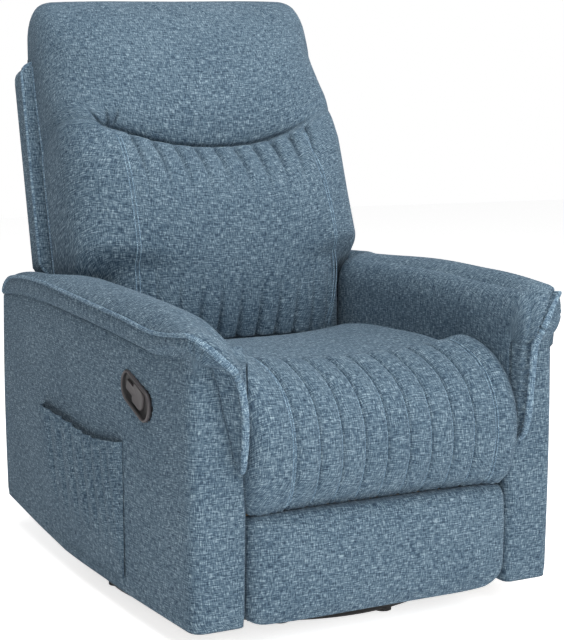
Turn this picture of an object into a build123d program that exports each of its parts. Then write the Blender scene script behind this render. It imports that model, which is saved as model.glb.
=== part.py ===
from build123d import *
import math
import os

# Swivel recliner. Millimetres, +Z up, the chair faces -Y, origin on the floor under the swivel axis.
# "Left" is the -X side, the side with the pocket and the release lever.

# ring base and swivel
RING_RADIUS = 295
RING_TUBE_RADIUS = 12
GLIDE_HEIGHT = 10
GLIDE_RADIUS = 15
GLIDE_COUNT = 10
GLIDE_FIRST_ANGLE = -116
SPIDER_BAR_WIDTH = 40
HUB_RADIUS = 62
HUB_TOP = 32
PLATE_THICKNESS = 4
KING_BOLT_RADIUS = 8
RUN_GAP = 0.05
LIFT_GAP = 0.2

# mechanism and seat box
SIDE_PLATE_IN = 205
SIDE_PLATE_OUT = 209
LINK_THICKNESS = 4
RAIL_LOW = 222
RAIL_HIGH = 288
SEAT_BOX_FRONT = -325
SEAT_BOX_REAR = 190
STRAP_THICKNESS = 2

# arms
ARM_IN = 241
ARM_FRONT = -374
ARM_REAR = 504
ARM_STEP = 205
ARM_THIN = 39
ARM_OUT_FRONT = 331
ARM_OUT_MIDDLE = 350
ARM_OUT_REAR = 342
ARM_THIN_IN = min(ARM_OUT_MIDDLE, ARM_OUT_REAR) - ARM_THIN
ARM_LOW = 40
ARM_LOW_REAR = 64
ARM_TOP = 474
COVER_THICKNESS = 14
PAD_THICKNESS = 38
PAD_CROWN = 18

# soft seat
SEAT_CLEARANCE = 1.5
SEAT_HALF = ARM_IN - SEAT_CLEARANCE
SEAT_LOW = RAIL_HIGH + STRAP_THICKNESS
CHANNEL_PITCH = 41
CHANNEL_COUNT = 9
GROOVE_DEPTH = 6

# footrest linkage in the side plane, y and z
LINK_PIVOT = (-262, 190)
REAR_LINK_LENGTH = 135
REAR_LINK_ANGLE = -115
FOOT_PIVOT = (-305, 185)
BOARD_BACK = -330
BOARD_FRONT = -345
FOOT_LOW = 40
FOOT_HIGH = 216

# back, built upright and then leaned
BACK_LEAN = 13.5
BACK_ORIGIN = (365, 290)
BACK_CLEARANCE = 7
BACK_HALF = ARM_THIN_IN - BACK_CLEARANCE
BACK_SHELL_DEPTH = 62
BACK_SHELL_TOP = 640
BACK_HINGE_UP = -28
BACK_HINGE_OUT = 35

# release handle
HANDLE_CENTRE = (-185, 383)
HANDLE_TILT = 30
HANDLE_PROUD = 2


def save(name, *shapes):
    """Writes one node; several solids of one kind go into one file."""
    shape = shapes[0] if len(shapes) == 1 else Compound(children=list(shapes))
    export_step(shape, f"parts/{name}.step")


def block(x0, x1, y0, y1, z0, z1):
    """Straight-sided block between two opposite corners."""
    return Pos((x0 + x1) / 2, (y0 + y1) / 2, (z0 + z1) / 2) * Box(abs(x1 - x0), abs(y1 - y0), abs(z1 - z0))


def side_plane(x):
    """Sketch plane seen from the +X side: sketch x is world Y, sketch y is world Z."""
    return Plane(origin=(x, 0, 0), x_dir=(0, 1, 0), z_dir=(1, 0, 0))


def side_prism(points, x0, x1, radius=0):
    """Plate cut to a side outline, between two x planes, with rounded corners."""
    outline = make_face(Polyline(*points, close=True))
    if radius:
        outline = fillet(outline.vertices(), radius)
    return extrude(side_plane(x0) * outline, amount=x1 - x0)


def rod(x0, x1, at, radius):
    """Bar along X through a point of the side plane, with twelve flats inside its radius."""
    return extrude(side_plane(x0) * Pos(at[0], at[1]) * RegularPolygon(radius, 12), amount=x1 - x0)


def hole(x0, x1, at, radius):
    """Cutter for a hole along X, with twelve flats around its radius, so that a rod turns in it."""
    return extrude(side_plane(x0) * Pos(at[0], at[1]) * RegularPolygon(radius, 12, major_radius=False), amount=x1 - x0)


def link_bar(start, end, width, x0, x1):
    """Flat link with round ends between two pivots of the side plane."""
    length = math.dist(start, end)
    angle = math.degrees(math.atan2(end[1] - start[1], end[0] - start[0]))
    middle = ((start[0] + end[0]) / 2, (start[1] + end[1]) / 2)
    outline = Pos(*middle) * Rot(0, 0, angle) * SlotCenterToCenter(length, width)
    return extrude(side_plane(x0) * outline, amount=x1 - x0)


def both(shape):
    """A right-hand piece and its left-hand twin."""
    return shape, mirror(shape, about=Plane.YZ)


# ring base: bent tube with six flats, cross bars trimmed to it, glides under its lowest flat
tube_height = GLIDE_HEIGHT + RING_TUBE_RADIUS


def ring_tube(extra=0.0):
    section = RegularPolygon(RING_TUBE_RADIUS + extra, 6, major_radius=False)
    return revolve(Plane.XZ * Pos(RING_RADIUS, tube_height) * section, Axis.Z)


def spider():
    reach = RING_RADIUS
    half = SPIDER_BAR_WIDTH / 2
    bars = block(-reach, reach, -half, half, 12, HUB_TOP) + block(-half, half, -reach, reach, 12, HUB_TOP)
    hub = Pos(0, 0, (12 + HUB_TOP) / 2) * Cylinder(HUB_RADIUS, HUB_TOP - 12)
    bore = Pos(0, 0, 20) * Cylinder(KING_BOLT_RADIUS + RUN_GAP, 60)
    return bars + hub - bore - ring_tube(RUN_GAP)


def glides():
    found = []
    for i in range(GLIDE_COUNT):
        angle = math.radians(GLIDE_FIRST_ANGLE + i * 360 / GLIDE_COUNT)
        spot = Pos(RING_RADIUS * math.cos(angle), RING_RADIUS * math.sin(angle), 0)
        found.append(spot * extrude(RegularPolygon(GLIDE_RADIUS, 16), amount=GLIDE_HEIGHT))
    return found


lower_plate_top = HUB_TOP + PLATE_THICKNESS
bearing_top = lower_plate_top + 4
upper_plate_low = bearing_top + LIFT_GAP
upper_plate_top = upper_plate_low + PLATE_THICKNESS


def swivel_plate(low, side):
    plate = Pos(0, 0, low + PLATE_THICKNESS / 2) * Box(side, side, PLATE_THICKNESS)
    plate = chamfer(plate.edges().filter_by(Axis.Z), 14)
    return plate - Pos(0, 0, low) * Cylinder(KING_BOLT_RADIUS + RUN_GAP, 40)


def bearing_ring():
    section = RegularPolygon(58, 32) - RegularPolygon(34, 32)
    return extrude(Plane.XY.offset(lower_plate_top) * section, amount=bearing_top - lower_plate_top)


def king_bolt():
    head_low = upper_plate_top + LIFT_GAP
    shank = Pos(0, 0, (4 + head_low) / 2) * Cylinder(KING_BOLT_RADIUS, head_low - 4)
    head = extrude(Plane.XY.offset(head_low) * RegularPolygon(15, 6), amount=6)
    nut = extrude(Plane.XY.offset(4) * RegularPolygon(13, 6), amount=8)
    return shank + head + nut


# seat carriage: cross channels on the upper plate, side plates, wooden seat box, straps
def cross_channel(y):
    low = upper_plate_top
    channel = block(-SIDE_PLATE_IN, SIDE_PLATE_IN, y - 15, y + 15, low, low + 25)
    return channel - block(-SIDE_PLATE_IN, SIDE_PLATE_IN, y - 12, y + 12, low + 3, low + 30)


back_hinge = (
    BACK_ORIGIN[0] + BACK_HINGE_UP * math.sin(math.radians(BACK_LEAN))
    - BACK_HINGE_OUT * math.cos(math.radians(BACK_LEAN)),
    BACK_ORIGIN[1] + BACK_HINGE_UP * math.cos(math.radians(BACK_LEAN))
    + BACK_HINGE_OUT * math.sin(math.radians(BACK_LEAN)),
)
bolt_spots = [(-250, 252), (130, 252)]
link_pin_radius = 5
back_pin_radius = 6


def side_plate():
    outline = [(-288, 166), (-288, 286), (350, 286), (350, 248), (300, 248), (160, 130), (112, 46),
               (-112, 46), (-150, 112), (-238, 160)]
    plate = side_prism(outline, SIDE_PLATE_IN, SIDE_PLATE_OUT)
    for spot in bolt_spots:
        plate -= hole(SIDE_PLATE_IN - 1, SIDE_PLATE_OUT + 1, spot, 4 + RUN_GAP)
    plate -= rod(SIDE_PLATE_IN - 1, SIDE_PLATE_OUT + 1, LINK_PIVOT, link_pin_radius)
    return plate - rod(SIDE_PLATE_IN - 1, SIDE_PLATE_OUT + 1, back_hinge, back_pin_radius)


def headed_pin(at, x_head, x_end, radius):
    """Shoulder pin: round shank with a thin six-sided head on its inner end."""
    head = extrude(side_plane(x_head) * Pos(*at) * RegularPolygon(radius + 4, 6), amount=2)
    return head + rod(x_head + 2, x_end, at, radius)


def seat_side_rail():
    rail = block(SIDE_PLATE_OUT, ARM_IN, SEAT_BOX_FRONT, SEAT_BOX_REAR, RAIL_LOW, RAIL_HIGH)
    for spot in bolt_spots:
        rail -= hole(SIDE_PLATE_OUT - 1, ARM_IN + 1, spot, 4 + RUN_GAP)
    return rail


def seat_straps():
    return [block(x - 25, x + 25, SEAT_BOX_FRONT, SEAT_BOX_REAR, RAIL_HIGH, SEAT_LOW) for x in range(-160, 161, 80)]


# arms: plywood frame in an open-bottomed padded cover, capped by a saddle pad
def arm_arc(offset=0.0):
    """Centre and radius of the bowed outer side in plan, and +1 if it bows outward or -1 if inward."""
    (x1, y1), (x2, y2), (x3, y3) = (ARM_OUT_FRONT, ARM_FRONT), (ARM_OUT_MIDDLE, 70), (ARM_OUT_REAR, ARM_REAR)
    d = 2 * (x1 * (y2 - y3) + x2 * (y3 - y1) + x3 * (y1 - y2))
    s1, s2, s3 = x1 * x1 + y1 * y1, x2 * x2 + y2 * y2, x3 * x3 + y3 * y3
    cx = (s1 * (y2 - y3) + s2 * (y3 - y1) + s3 * (y1 - y2)) / d
    cy = (s1 * (x3 - x2) + s2 * (x1 - x3) + s3 * (x2 - x1)) / d
    bow = math.copysign(1, x2 - cx)
    return cx, cy, math.dist((cx, cy), (x1, y1)) + bow * offset, bow


def arm_side_x(y, offset=0.0):
    cx, cy, radius, bow = arm_arc(offset)
    return cx + bow * math.sqrt(radius * radius - (y - cy) ** 2)


def arm_band(y0, y1, z0, z1, d0, d1):
    """Layer that follows the bowed left side, between two distances from it."""
    ym = (y0 + y1) / 2
    near = ThreePointArc((-arm_side_x(y0, d0), y0), (-arm_side_x(ym, d0), ym), (-arm_side_x(y1, d0), y1))
    far = ThreePointArc((-arm_side_x(y1, d1), y1), (-arm_side_x(ym, d1), ym), (-arm_side_x(y0, d1), y0))
    ends = Curve() + Line(near @ 1, far @ 0) + Line(far @ 1, near @ 0)
    return extrude(Plane.XY.offset(z0) * make_face(Curve() + near + far + ends), amount=z1 - z0)


def arm_plan(inset=0.0):
    """Plan of one arm: thick between seat and side, thin beside the back, bowed outside."""
    front = ARM_FRONT + inset
    rear = ARM_REAR - inset
    step = ARM_STEP - inset
    inner = ARM_IN + inset
    thin = ARM_THIN_IN + inset
    start = (arm_side_x(front, -inset), front)
    end = (arm_side_x(rear, -inset), rear)
    side = ThreePointArc(start, (arm_side_x(70, -inset), 70), end)
    rest = Polyline(end, (thin, rear), (thin, step), (inner, step), (inner, front), start)
    return make_face(Curve() + side + rest)


def arm_cover():
    plan = arm_plan()
    plan = fillet(plan.vertices().sort_by(Axis.Y)[:2], 20)
    cover = extrude(Plane.XY.offset(ARM_LOW) * plan, amount=ARM_TOP - ARM_LOW)
    cover -= extrude(Plane.XY.offset(ARM_LOW - 1) * arm_plan(COVER_THICKNESS), amount=ARM_TOP - ARM_LOW + 1 - COVER_THICKNESS)
    wedge = [(150, ARM_LOW - 2), (520, ARM_LOW - 2), (520, ARM_LOW_REAR), (505, ARM_LOW_REAR), (150, ARM_LOW)]
    cover -= side_prism(wedge, 200, 400)
    for spot in bolt_spots:
        cover -= hole(ARM_IN - 1, ARM_IN + COVER_THICKNESS + 1, spot, 4 + RUN_GAP)
    return cover


frame_in = ARM_IN + COVER_THICKNESS
frame_top = ARM_TOP - COVER_THICKNESS
BOARD = 15
BENT_PANEL = 10
FRAME_LOW = 70
FRAME_GAP = 0.2


def arm_inner_board():
    front = ARM_FRONT + COVER_THICKNESS + FRAME_GAP
    rear = ARM_STEP - COVER_THICKNESS - FRAME_GAP
    board = block(frame_in, frame_in + BOARD, front, rear, FRAME_LOW, frame_top - BOARD)
    for spot in bolt_spots:
        board -= hole(frame_in - 1, frame_in + BOARD - 1, spot, 4 + RUN_GAP)
    return board


def arm_frame():
    """Inner board, front post, bent outer panel and a top cut to the plan, glued up."""
    front = ARM_FRONT + COVER_THICKNESS + FRAME_GAP
    rear = ARM_REAR - COVER_THICKNESS - FRAME_GAP
    inset = COVER_THICKNESS + FRAME_GAP
    post_out = arm_side_x(front, -inset - 2)
    post = block(frame_in + BOARD, post_out, front, front + 30, FRAME_LOW, frame_top - BOARD)
    bent = arm_band(front + 10, rear, FRAME_LOW + 20, frame_top - BOARD, -inset - BENT_PANEL, -inset)
    top = extrude(Plane.XY.offset(frame_top - BOARD) * arm_plan(inset), amount=BOARD)
    return arm_inner_board() + post + mirror(bent, about=Plane.YZ) + top


def pad_section(plane, inner, outer, thickness, crown):
    """One cut across the pad: flat below, upright edges, crowned above."""
    points = [(inner, 0), (outer, 0)]
    for share in (1.0, 0.82, 0.5, 0.18, 0.0):
        rise = crown * 4 * share * (1 - share)
        points.append((inner + (outer - inner) * share, thickness + rise))
    return plane * make_face(Polyline(*points, close=True))


def arm_pad():
    """Saddle pad: along the arm top, over the front edge and down to a tip on the inner side."""
    sections = []
    rear = [(ARM_REAR - 8, 15, 2, 26, 4), (ARM_REAR - 40, 6, 8, 34, 10), (ARM_STEP + 40, 3, 8, PAD_THICKNESS, 12)]
    for y, inset, reach, thick, crown in rear:
        plane = Plane(origin=(0, y, ARM_TOP), x_dir=(1, 0, 0), z_dir=(0, -1, 0))
        sections.append(pad_section(plane, ARM_THIN_IN + inset, arm_side_x(y, reach), thick, crown))
    for y in (ARM_STEP - 2, 60, -120, -270, ARM_FRONT):
        outer = arm_side_x(y, 6)
        plane = Plane(origin=(0, y, ARM_TOP), x_dir=(1, 0, 0), z_dir=(0, -1, 0))
        sections.append(pad_section(plane, ARM_IN + 2, outer, PAD_THICKNESS, PAD_CROWN))
    for turn, reach in ((22.5, 5), (45, 0), (67.5, -6), (90, -12)):
        lean = math.radians(turn)
        outer = ARM_OUT_FRONT + reach
        plane = Plane(origin=(0, ARM_FRONT, ARM_TOP), x_dir=(1, 0, 0), z_dir=(0, -math.cos(lean), -math.sin(lean)))
        sections.append(pad_section(plane, ARM_IN + 2, outer, PAD_THICKNESS - 2, PAD_CROWN * (1 - turn / 140)))
    for drop, reach, thick in ((49, -27, 34), (89, -37, 32), (139, -52, 28), (174, -63, 18), (184, -69, 8)):
        plane = Plane(origin=(0, ARM_FRONT, ARM_TOP - drop), x_dir=(1, 0, 0), z_dir=(0, 0, -1))
        sections.append(pad_section(plane, ARM_IN + 3, ARM_OUT_FRONT + reach, thick, 6))
    return loft(sections, ruled=True)


def arm_bolt(spot):
    head = extrude(side_plane(SIDE_PLATE_IN - 4) * Pos(*spot) * RegularPolygon(8, 6), amount=4)
    return head + rod(SIDE_PLATE_IN, frame_in + 13, spot, 4)


# side pocket and release handle on the left arm
pocket_y = (-135, 240)
pocket_z = (66, 292)


def side_pocket():
    (y0, y1), (z0, z1) = pocket_y, pocket_z
    whole = arm_band(y0, y1, z0, z1, 0, 12)
    return whole - arm_band(y0 + 7, y1 - 7, z0 + 7, z1 + 5, -1, 8.5)


handle_face = arm_side_x(HANDLE_CENTRE[0]) + HANDLE_PROUD
handle_plane = Plane(
    origin=(-handle_face, *HANDLE_CENTRE),
    x_dir=(0, -math.cos(math.radians(HANDLE_TILT)), -math.sin(math.radians(HANDLE_TILT))),
    z_dir=(-1, 0, 0),
)


def handle_oval(length, width, low, high):
    """Oval block on the handle's own axes, each end of eight facets; low and high count outward from the flange face."""
    reach = (length - width) / 2
    turns = [math.radians(-90 + 22.5 * i) for i in range(9)]
    end = [(reach + width / 2 * math.cos(turn), width / 2 * math.sin(turn)) for turn in turns]
    outline = end + [(-x, -y) for x, y in end]
    return extrude(handle_plane.offset(low) * make_face(Polyline(*outline, close=True)), amount=high - low)


def handle_bezel():
    bezel = handle_oval(126, 62, -6, 0) + handle_oval(112, 48, -28, -6)
    bezel -= handle_oval(106, 42, -25, 1)
    ears = handle_plane * Pos(-38, 0, -14) * Box(12, 41, 10)
    bezel += ears - handle_plane * Pos(-38, 0, -14) * Box(14, 26.6, 12)
    return bezel - handle_pin(RUN_GAP)


def handle_pin(extra=0.0):
    return handle_plane * Pos(-38, 0, -14) * Rot(90, 0, 0) * Cylinder(2.5 + extra, 40)


def handle_lever():
    """Paddle: barrel on the pin, neck and a wide finger plate toward the front."""
    barrel = handle_plane * Pos(-38, 0, -14) * Rot(90, 0, 0) * Cylinder(5, 26)
    stem = handle_plane * Pos(-13, 0, -8) * Box(50, 18, 6)
    neck = handle_plane * Pos(-38, 0, -10) * Box(6, 18, 8)
    plate = handle_plane * Pos(16, 0, -8) * Box(20, 36, 6)
    plate = fillet(plate.edges().filter_by(Axis.X), 4)
    return barrel + stem + neck + plate - handle_pin(RUN_GAP)


cable_y = -170
cable_start = handle_face - 28.3
cable_drop = (cable_start + frame_in + BOARD) / 2
cable_bend = 0.95 * (cable_start - cable_drop)
cable_spots = [(-cable_start, 392), (-cable_drop, 392), (-cable_drop, 196), (-(SIDE_PLATE_OUT + 0.2), 196)]


def release_cable():
    points = [(x, cable_y, z) for x, z in cable_spots]
    route = FilletPolyline(*points, radius=cable_bend)
    return sweep(Plane(origin=points[0], z_dir=(1, 0, 0)) * RegularPolygon(3, 6), path=route)


def cable_hole(x0, x1):
    return hole(x0, x1, (cable_y, cable_spots[2][1]), 4)


# soft pieces: lofted through cuts, each cut the straight rear and the crowned front of the piece
def soft_cut(plane, straight, front):
    return plane * make_face(Polyline(*straight, *front[1:-1], close=True))


def channel_stations(half, edge):
    """Cuts across the width: grooves on the channel lines, crests between, plain toward the sides."""
    span = CHANNEL_PITCH * CHANNEL_COUNT / 2
    found = [(-half, 0.0), (-edge, 0.0)]
    for i in range(CHANNEL_COUNT + 1):
        line = -span + i * CHANNEL_PITCH
        found.append((line, 1.0))
        if i < CHANNEL_COUNT:
            found.append((line + CHANNEL_PITCH / 2, 0.0))
    return found + [(edge, 0.0), (half, 0.0)]


def seat_cushion():
    """Crowned seat with a waterfall front; the front is drawn in along the channel lines."""
    cuts = []
    for x, groove in channel_stations(SEAT_HALF, 214):
        side = (abs(x) / SEAT_HALF) ** 6
        dip = GROOVE_DEPTH * groove
        drop = 16 * (abs(x) / SEAT_HALF) ** 3
        back = 10 * side + dip
        straight = [(130, 396 - drop), (130, SEAT_LOW), (-327, SEAT_LOW), (-327, 226), (-376 + back, 226)]
        front = [(-376 + back, 226), (-392 + back, 280), (-397 + back, 345), (-388 + back, 405), (-350 + dip, 446 - drop - dip),
                 (-270, 465 - drop), (-130, 456 - drop), (0, 430 - drop), (130, 396 - drop)]
        cuts.append(soft_cut(side_plane(x), straight, front))
    return loft(cuts, ruled=True)


def back_plane(x):
    """Sketch plane in the upright back: sketch x runs forward from the rear face, sketch y runs up."""
    return Plane(origin=(x, 0, 0), x_dir=(0, -1, 0), z_dir=(-1, 0, 0))


def mix(centre, side, share):
    return [(c[0] * (1 - share) + s[0] * share, c[1] * (1 - share) + s[1] * share) for c, s in zip(centre, side)]


LUMBAR_HALF = ARM_IN - 3
SEAM_GAP = 5


def smile(x):
    """Height of the seam between lumbar panel and head pillow: low in the middle, rising to the sides."""
    return 424 + 60 * (x / BACK_HALF) ** 2


def lumbar_cushion():
    """Middle of the back between the arms, drawn in along the channel lines."""
    cuts = []
    for x, groove in channel_stations(LUMBAR_HALF, 216):
        share = (abs(x) / LUMBAR_HALF) ** 7
        dip = 4 * groove
        top = smile(x)
        centre = [(262, 66), (284, 110), (302, 190), (304, 270), (284, 345), (256, 392), (220, top)]
        side = [(198, 66), (224, 110), (248, 190), (268, 270), (250, 345), (226, 400), (190, top)]
        front = [(n - dip, s) for n, s in mix(centre, side, share)]
        straight = [front[-1], (BACK_SHELL_DEPTH, top), (BACK_SHELL_DEPTH, 66), front[0]]
        cuts.append(soft_cut(back_plane(x), straight, front))
    return leaned(loft(cuts, ruled=True))


def back_bolster():
    """Plain padded side of the back above the arm."""
    cuts = []
    start = LUMBAR_HALF + 0.5
    for across, share in ((0, 0.0), (0.3, 0.08), (0.55, 0.22), (0.74, 0.42), (0.88, 0.66), (1, 1.0)):
        x = start + (BACK_HALF - start) * across
        top = smile(x)
        near = [(250, 206), (264, 270), (246, 350), (222, 410), (189, top)]
        far = [(104, 214), (110, 270), (108, 350), (102, 410), (94, top - 6)]
        front = mix(near, far, share)
        straight = [front[-1], (BACK_SHELL_DEPTH, front[-1][1]), (BACK_SHELL_DEPTH, front[0][1]), front[0]]
        cuts.append(soft_cut(back_plane(x), straight, front))
    return leaned(loft(cuts, ruled=True))


HEAD_HALF = BACK_HALF - 6
HEAD_FULL = 172
HEAD_FULL_SIDE = 50
HEAD_RISE = 110
HEAD_RISE_SIDE = 64
HEAD_PROFILE = [(0.87, 0), (1, 0.14), (0.98, 0.3), (0.9, 0.48), (0.72, 0.68), (0.42, 0.89), (0.12, 1), (-0.1, 0.98), (-0.16, 0.92)]


def head_pillow():
    """Plump head pillow: a straight top edge with rounded corners, its front fullest in the middle."""
    cuts = []
    for across in (-1, -0.97, -0.9, -0.78, -0.55, 0, 0.55, 0.78, 0.9, 0.97, 1):
        full = HEAD_FULL + (HEAD_FULL_SIDE - HEAD_FULL) * abs(across) ** 4.5
        rise = HEAD_RISE + (HEAD_RISE_SIDE - HEAD_RISE) * abs(across) ** 8
        low = smile(across * HEAD_HALF) + SEAM_GAP
        tall = BACK_SHELL_TOP + rise - low
        points = [(BACK_SHELL_DEPTH + full * out, low + tall * up) for out, up in HEAD_PROFILE]
        rear = BACK_SHELL_DEPTH + HEAD_FULL * HEAD_PROFILE[-1][0]
        shelf = BACK_SHELL_TOP + LIFT_GAP
        points += [(rear, shelf), (BACK_SHELL_DEPTH, shelf), (BACK_SHELL_DEPTH, low)]
        cuts.append(back_plane(across * HEAD_HALF) * make_face(Polyline(*points, close=True)))
    return leaned(loft(cuts, ruled=True))


PAD_HALF = 239
PAD_FRONT = -394
PAD_PROFILE = [(0.3, 0), (0.62, 0.04), (0.88, 0.16), (1, 0.5), (0.88, 0.84), (0.62, 0.96), (0.3, 1)]


def footrest_pad():
    """Padded footrest front, thinner at its rounded edges."""
    cuts = []
    for across, share in ((-1, 1), (-0.97, 0.5), (-0.88, 0.12), (0, 0), (0.88, 0.12), (0.97, 0.5), (1, 1)):
        low = FOOT_LOW + 16 * share
        high = FOOT_HIGH - 6 * share
        full = (BOARD_FRONT - PAD_FRONT) * (1 - 0.55 * share)
        points = [(BOARD_FRONT - full * out, low + (high - low) * up) for out, up in PAD_PROFILE]
        points += [(BOARD_FRONT, high), (BOARD_FRONT, low)]
        cuts.append(side_plane(across * PAD_HALF) * make_face(Polyline(*points, close=True)))
    return loft(cuts, ruled=True)


# back: wooden frame in a shell, on two steel posts that hinge on the side plates
def leaned(shape):
    return Pos(0, *BACK_ORIGIN) * Rot(-BACK_LEAN, 0, 0) * shape


def back_block(x0, x1, n0, n1, s0, s1):
    return block(x0, x1, -n1, -n0, s0, s1)


STILE_IN = SIDE_PLATE_IN - 0.5
post_bolt_heights = (90, 150)


def post_hole(height):
    return hole(STILE_IN - 12, STILE_IN + 24, (-BACK_HINGE_OUT, height), 4 + RUN_GAP)


def back_post():
    post = link_bar((-BACK_HINGE_OUT, BACK_HINGE_UP), (-BACK_HINGE_OUT, 190), 32, STILE_IN - LINK_THICKNESS, STILE_IN)
    post -= hole(STILE_IN - 9, STILE_IN + 5, (-BACK_HINGE_OUT, BACK_HINGE_UP), back_pin_radius + RUN_GAP)
    for height in post_bolt_heights:
        post -= post_hole(height)
    return leaned(post)


def post_bolt(height):
    spot = (-BACK_HINGE_OUT, height)
    head = extrude(side_plane(STILE_IN - LINK_THICKNESS - 4) * Pos(*spot) * RegularPolygon(8, 6), amount=4)
    return leaned(head + rod(STILE_IN - LINK_THICKNESS, STILE_IN + 22, spot, 4))


def back_stile():
    stile = back_block(STILE_IN, STILE_IN + 40, 8, BACK_SHELL_DEPTH - 2, 22, BACK_SHELL_TOP - 10)
    for height in post_bolt_heights:
        stile -= post_hole(height)
    return leaned(stile)


def back_rail(low, high, half=STILE_IN):
    return leaned(back_block(-half, half, 8, BACK_SHELL_DEPTH - 12, low, high))


def back_straps():
    reach = STILE_IN + 40
    return [leaned(back_block(-reach, reach, BACK_SHELL_DEPTH - 2, BACK_SHELL_DEPTH, s, s + 50)) for s in range(100, 521, 84)]


def back_shell():
    outer = back_block(-BACK_HALF, BACK_HALF, 0, BACK_SHELL_DEPTH, 0, BACK_SHELL_TOP)
    outer = fillet(outer.edges().filter_by(Axis.Y).group_by(Axis.Z)[-1], 40)
    outer = chamfer(outer.faces().sort_by(Axis.Y)[-1].edges().group_by(Axis.Z)[1:], 12)
    inner = back_block(-BACK_HALF + 8, BACK_HALF - 8, 8, BACK_SHELL_DEPTH + 10, -10, BACK_SHELL_TOP - 10)
    inner = fillet(inner.edges().filter_by(Axis.Y).group_by(Axis.Z)[-1], 34)
    return leaned(outer - inner)


# footrest linkage: three flat pieces a side, each in its own layer
rear_layer = (SIDE_PLATE_IN - 0.5 - LINK_THICKNESS, SIDE_PLATE_IN - 0.5)
front_layer = (rear_layer[0] - 0.5 - LINK_THICKNESS, rear_layer[0] - 0.5)
bracket_layer = (front_layer[0] - 0.5 - LINK_THICKNESS, front_layer[0] - 0.5)
knee = (
    LINK_PIVOT[0] - REAR_LINK_LENGTH * math.cos(math.radians(REAR_LINK_ANGLE)),
    LINK_PIVOT[1] + REAR_LINK_LENGTH * math.sin(math.radians(REAR_LINK_ANGLE)),
)
tube_share = 40 / REAR_LINK_LENGTH
tube_spot = tuple(a + (k - a) * tube_share for a, k in zip(LINK_PIVOT, knee))


def rear_link():
    link = link_bar(LINK_PIVOT, knee, 26, *rear_layer)
    link -= hole(rear_layer[0] - 1, rear_layer[1] + 1, LINK_PIVOT, link_pin_radius + RUN_GAP)
    return link - rod(rear_layer[0] - 1, rear_layer[1] + 1, knee, link_pin_radius)


def front_link():
    link = link_bar(knee, FOOT_PIVOT, 24, *front_layer)
    link -= hole(front_layer[0] - 1, front_layer[1] + 1, knee, link_pin_radius + RUN_GAP)
    return link - rod(front_layer[0] - 1, front_layer[1] + 1, FOOT_PIVOT, link_pin_radius)


def foot_bracket():
    y, z = FOOT_PIVOT
    ear = side_prism([(y + 13, z + 12), (BOARD_BACK, z + 18), (BOARD_BACK, 78), (BOARD_BACK + 14, 78), (y + 13, z - 14)], *bracket_layer)
    foot = block(bracket_layer[0] - 16, bracket_layer[0], BOARD_BACK, BOARD_BACK + 3, 78, z + 18)
    return ear + foot - hole(bracket_layer[0] - 1, bracket_layer[1] + 1, FOOT_PIVOT, link_pin_radius + RUN_GAP)


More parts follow.
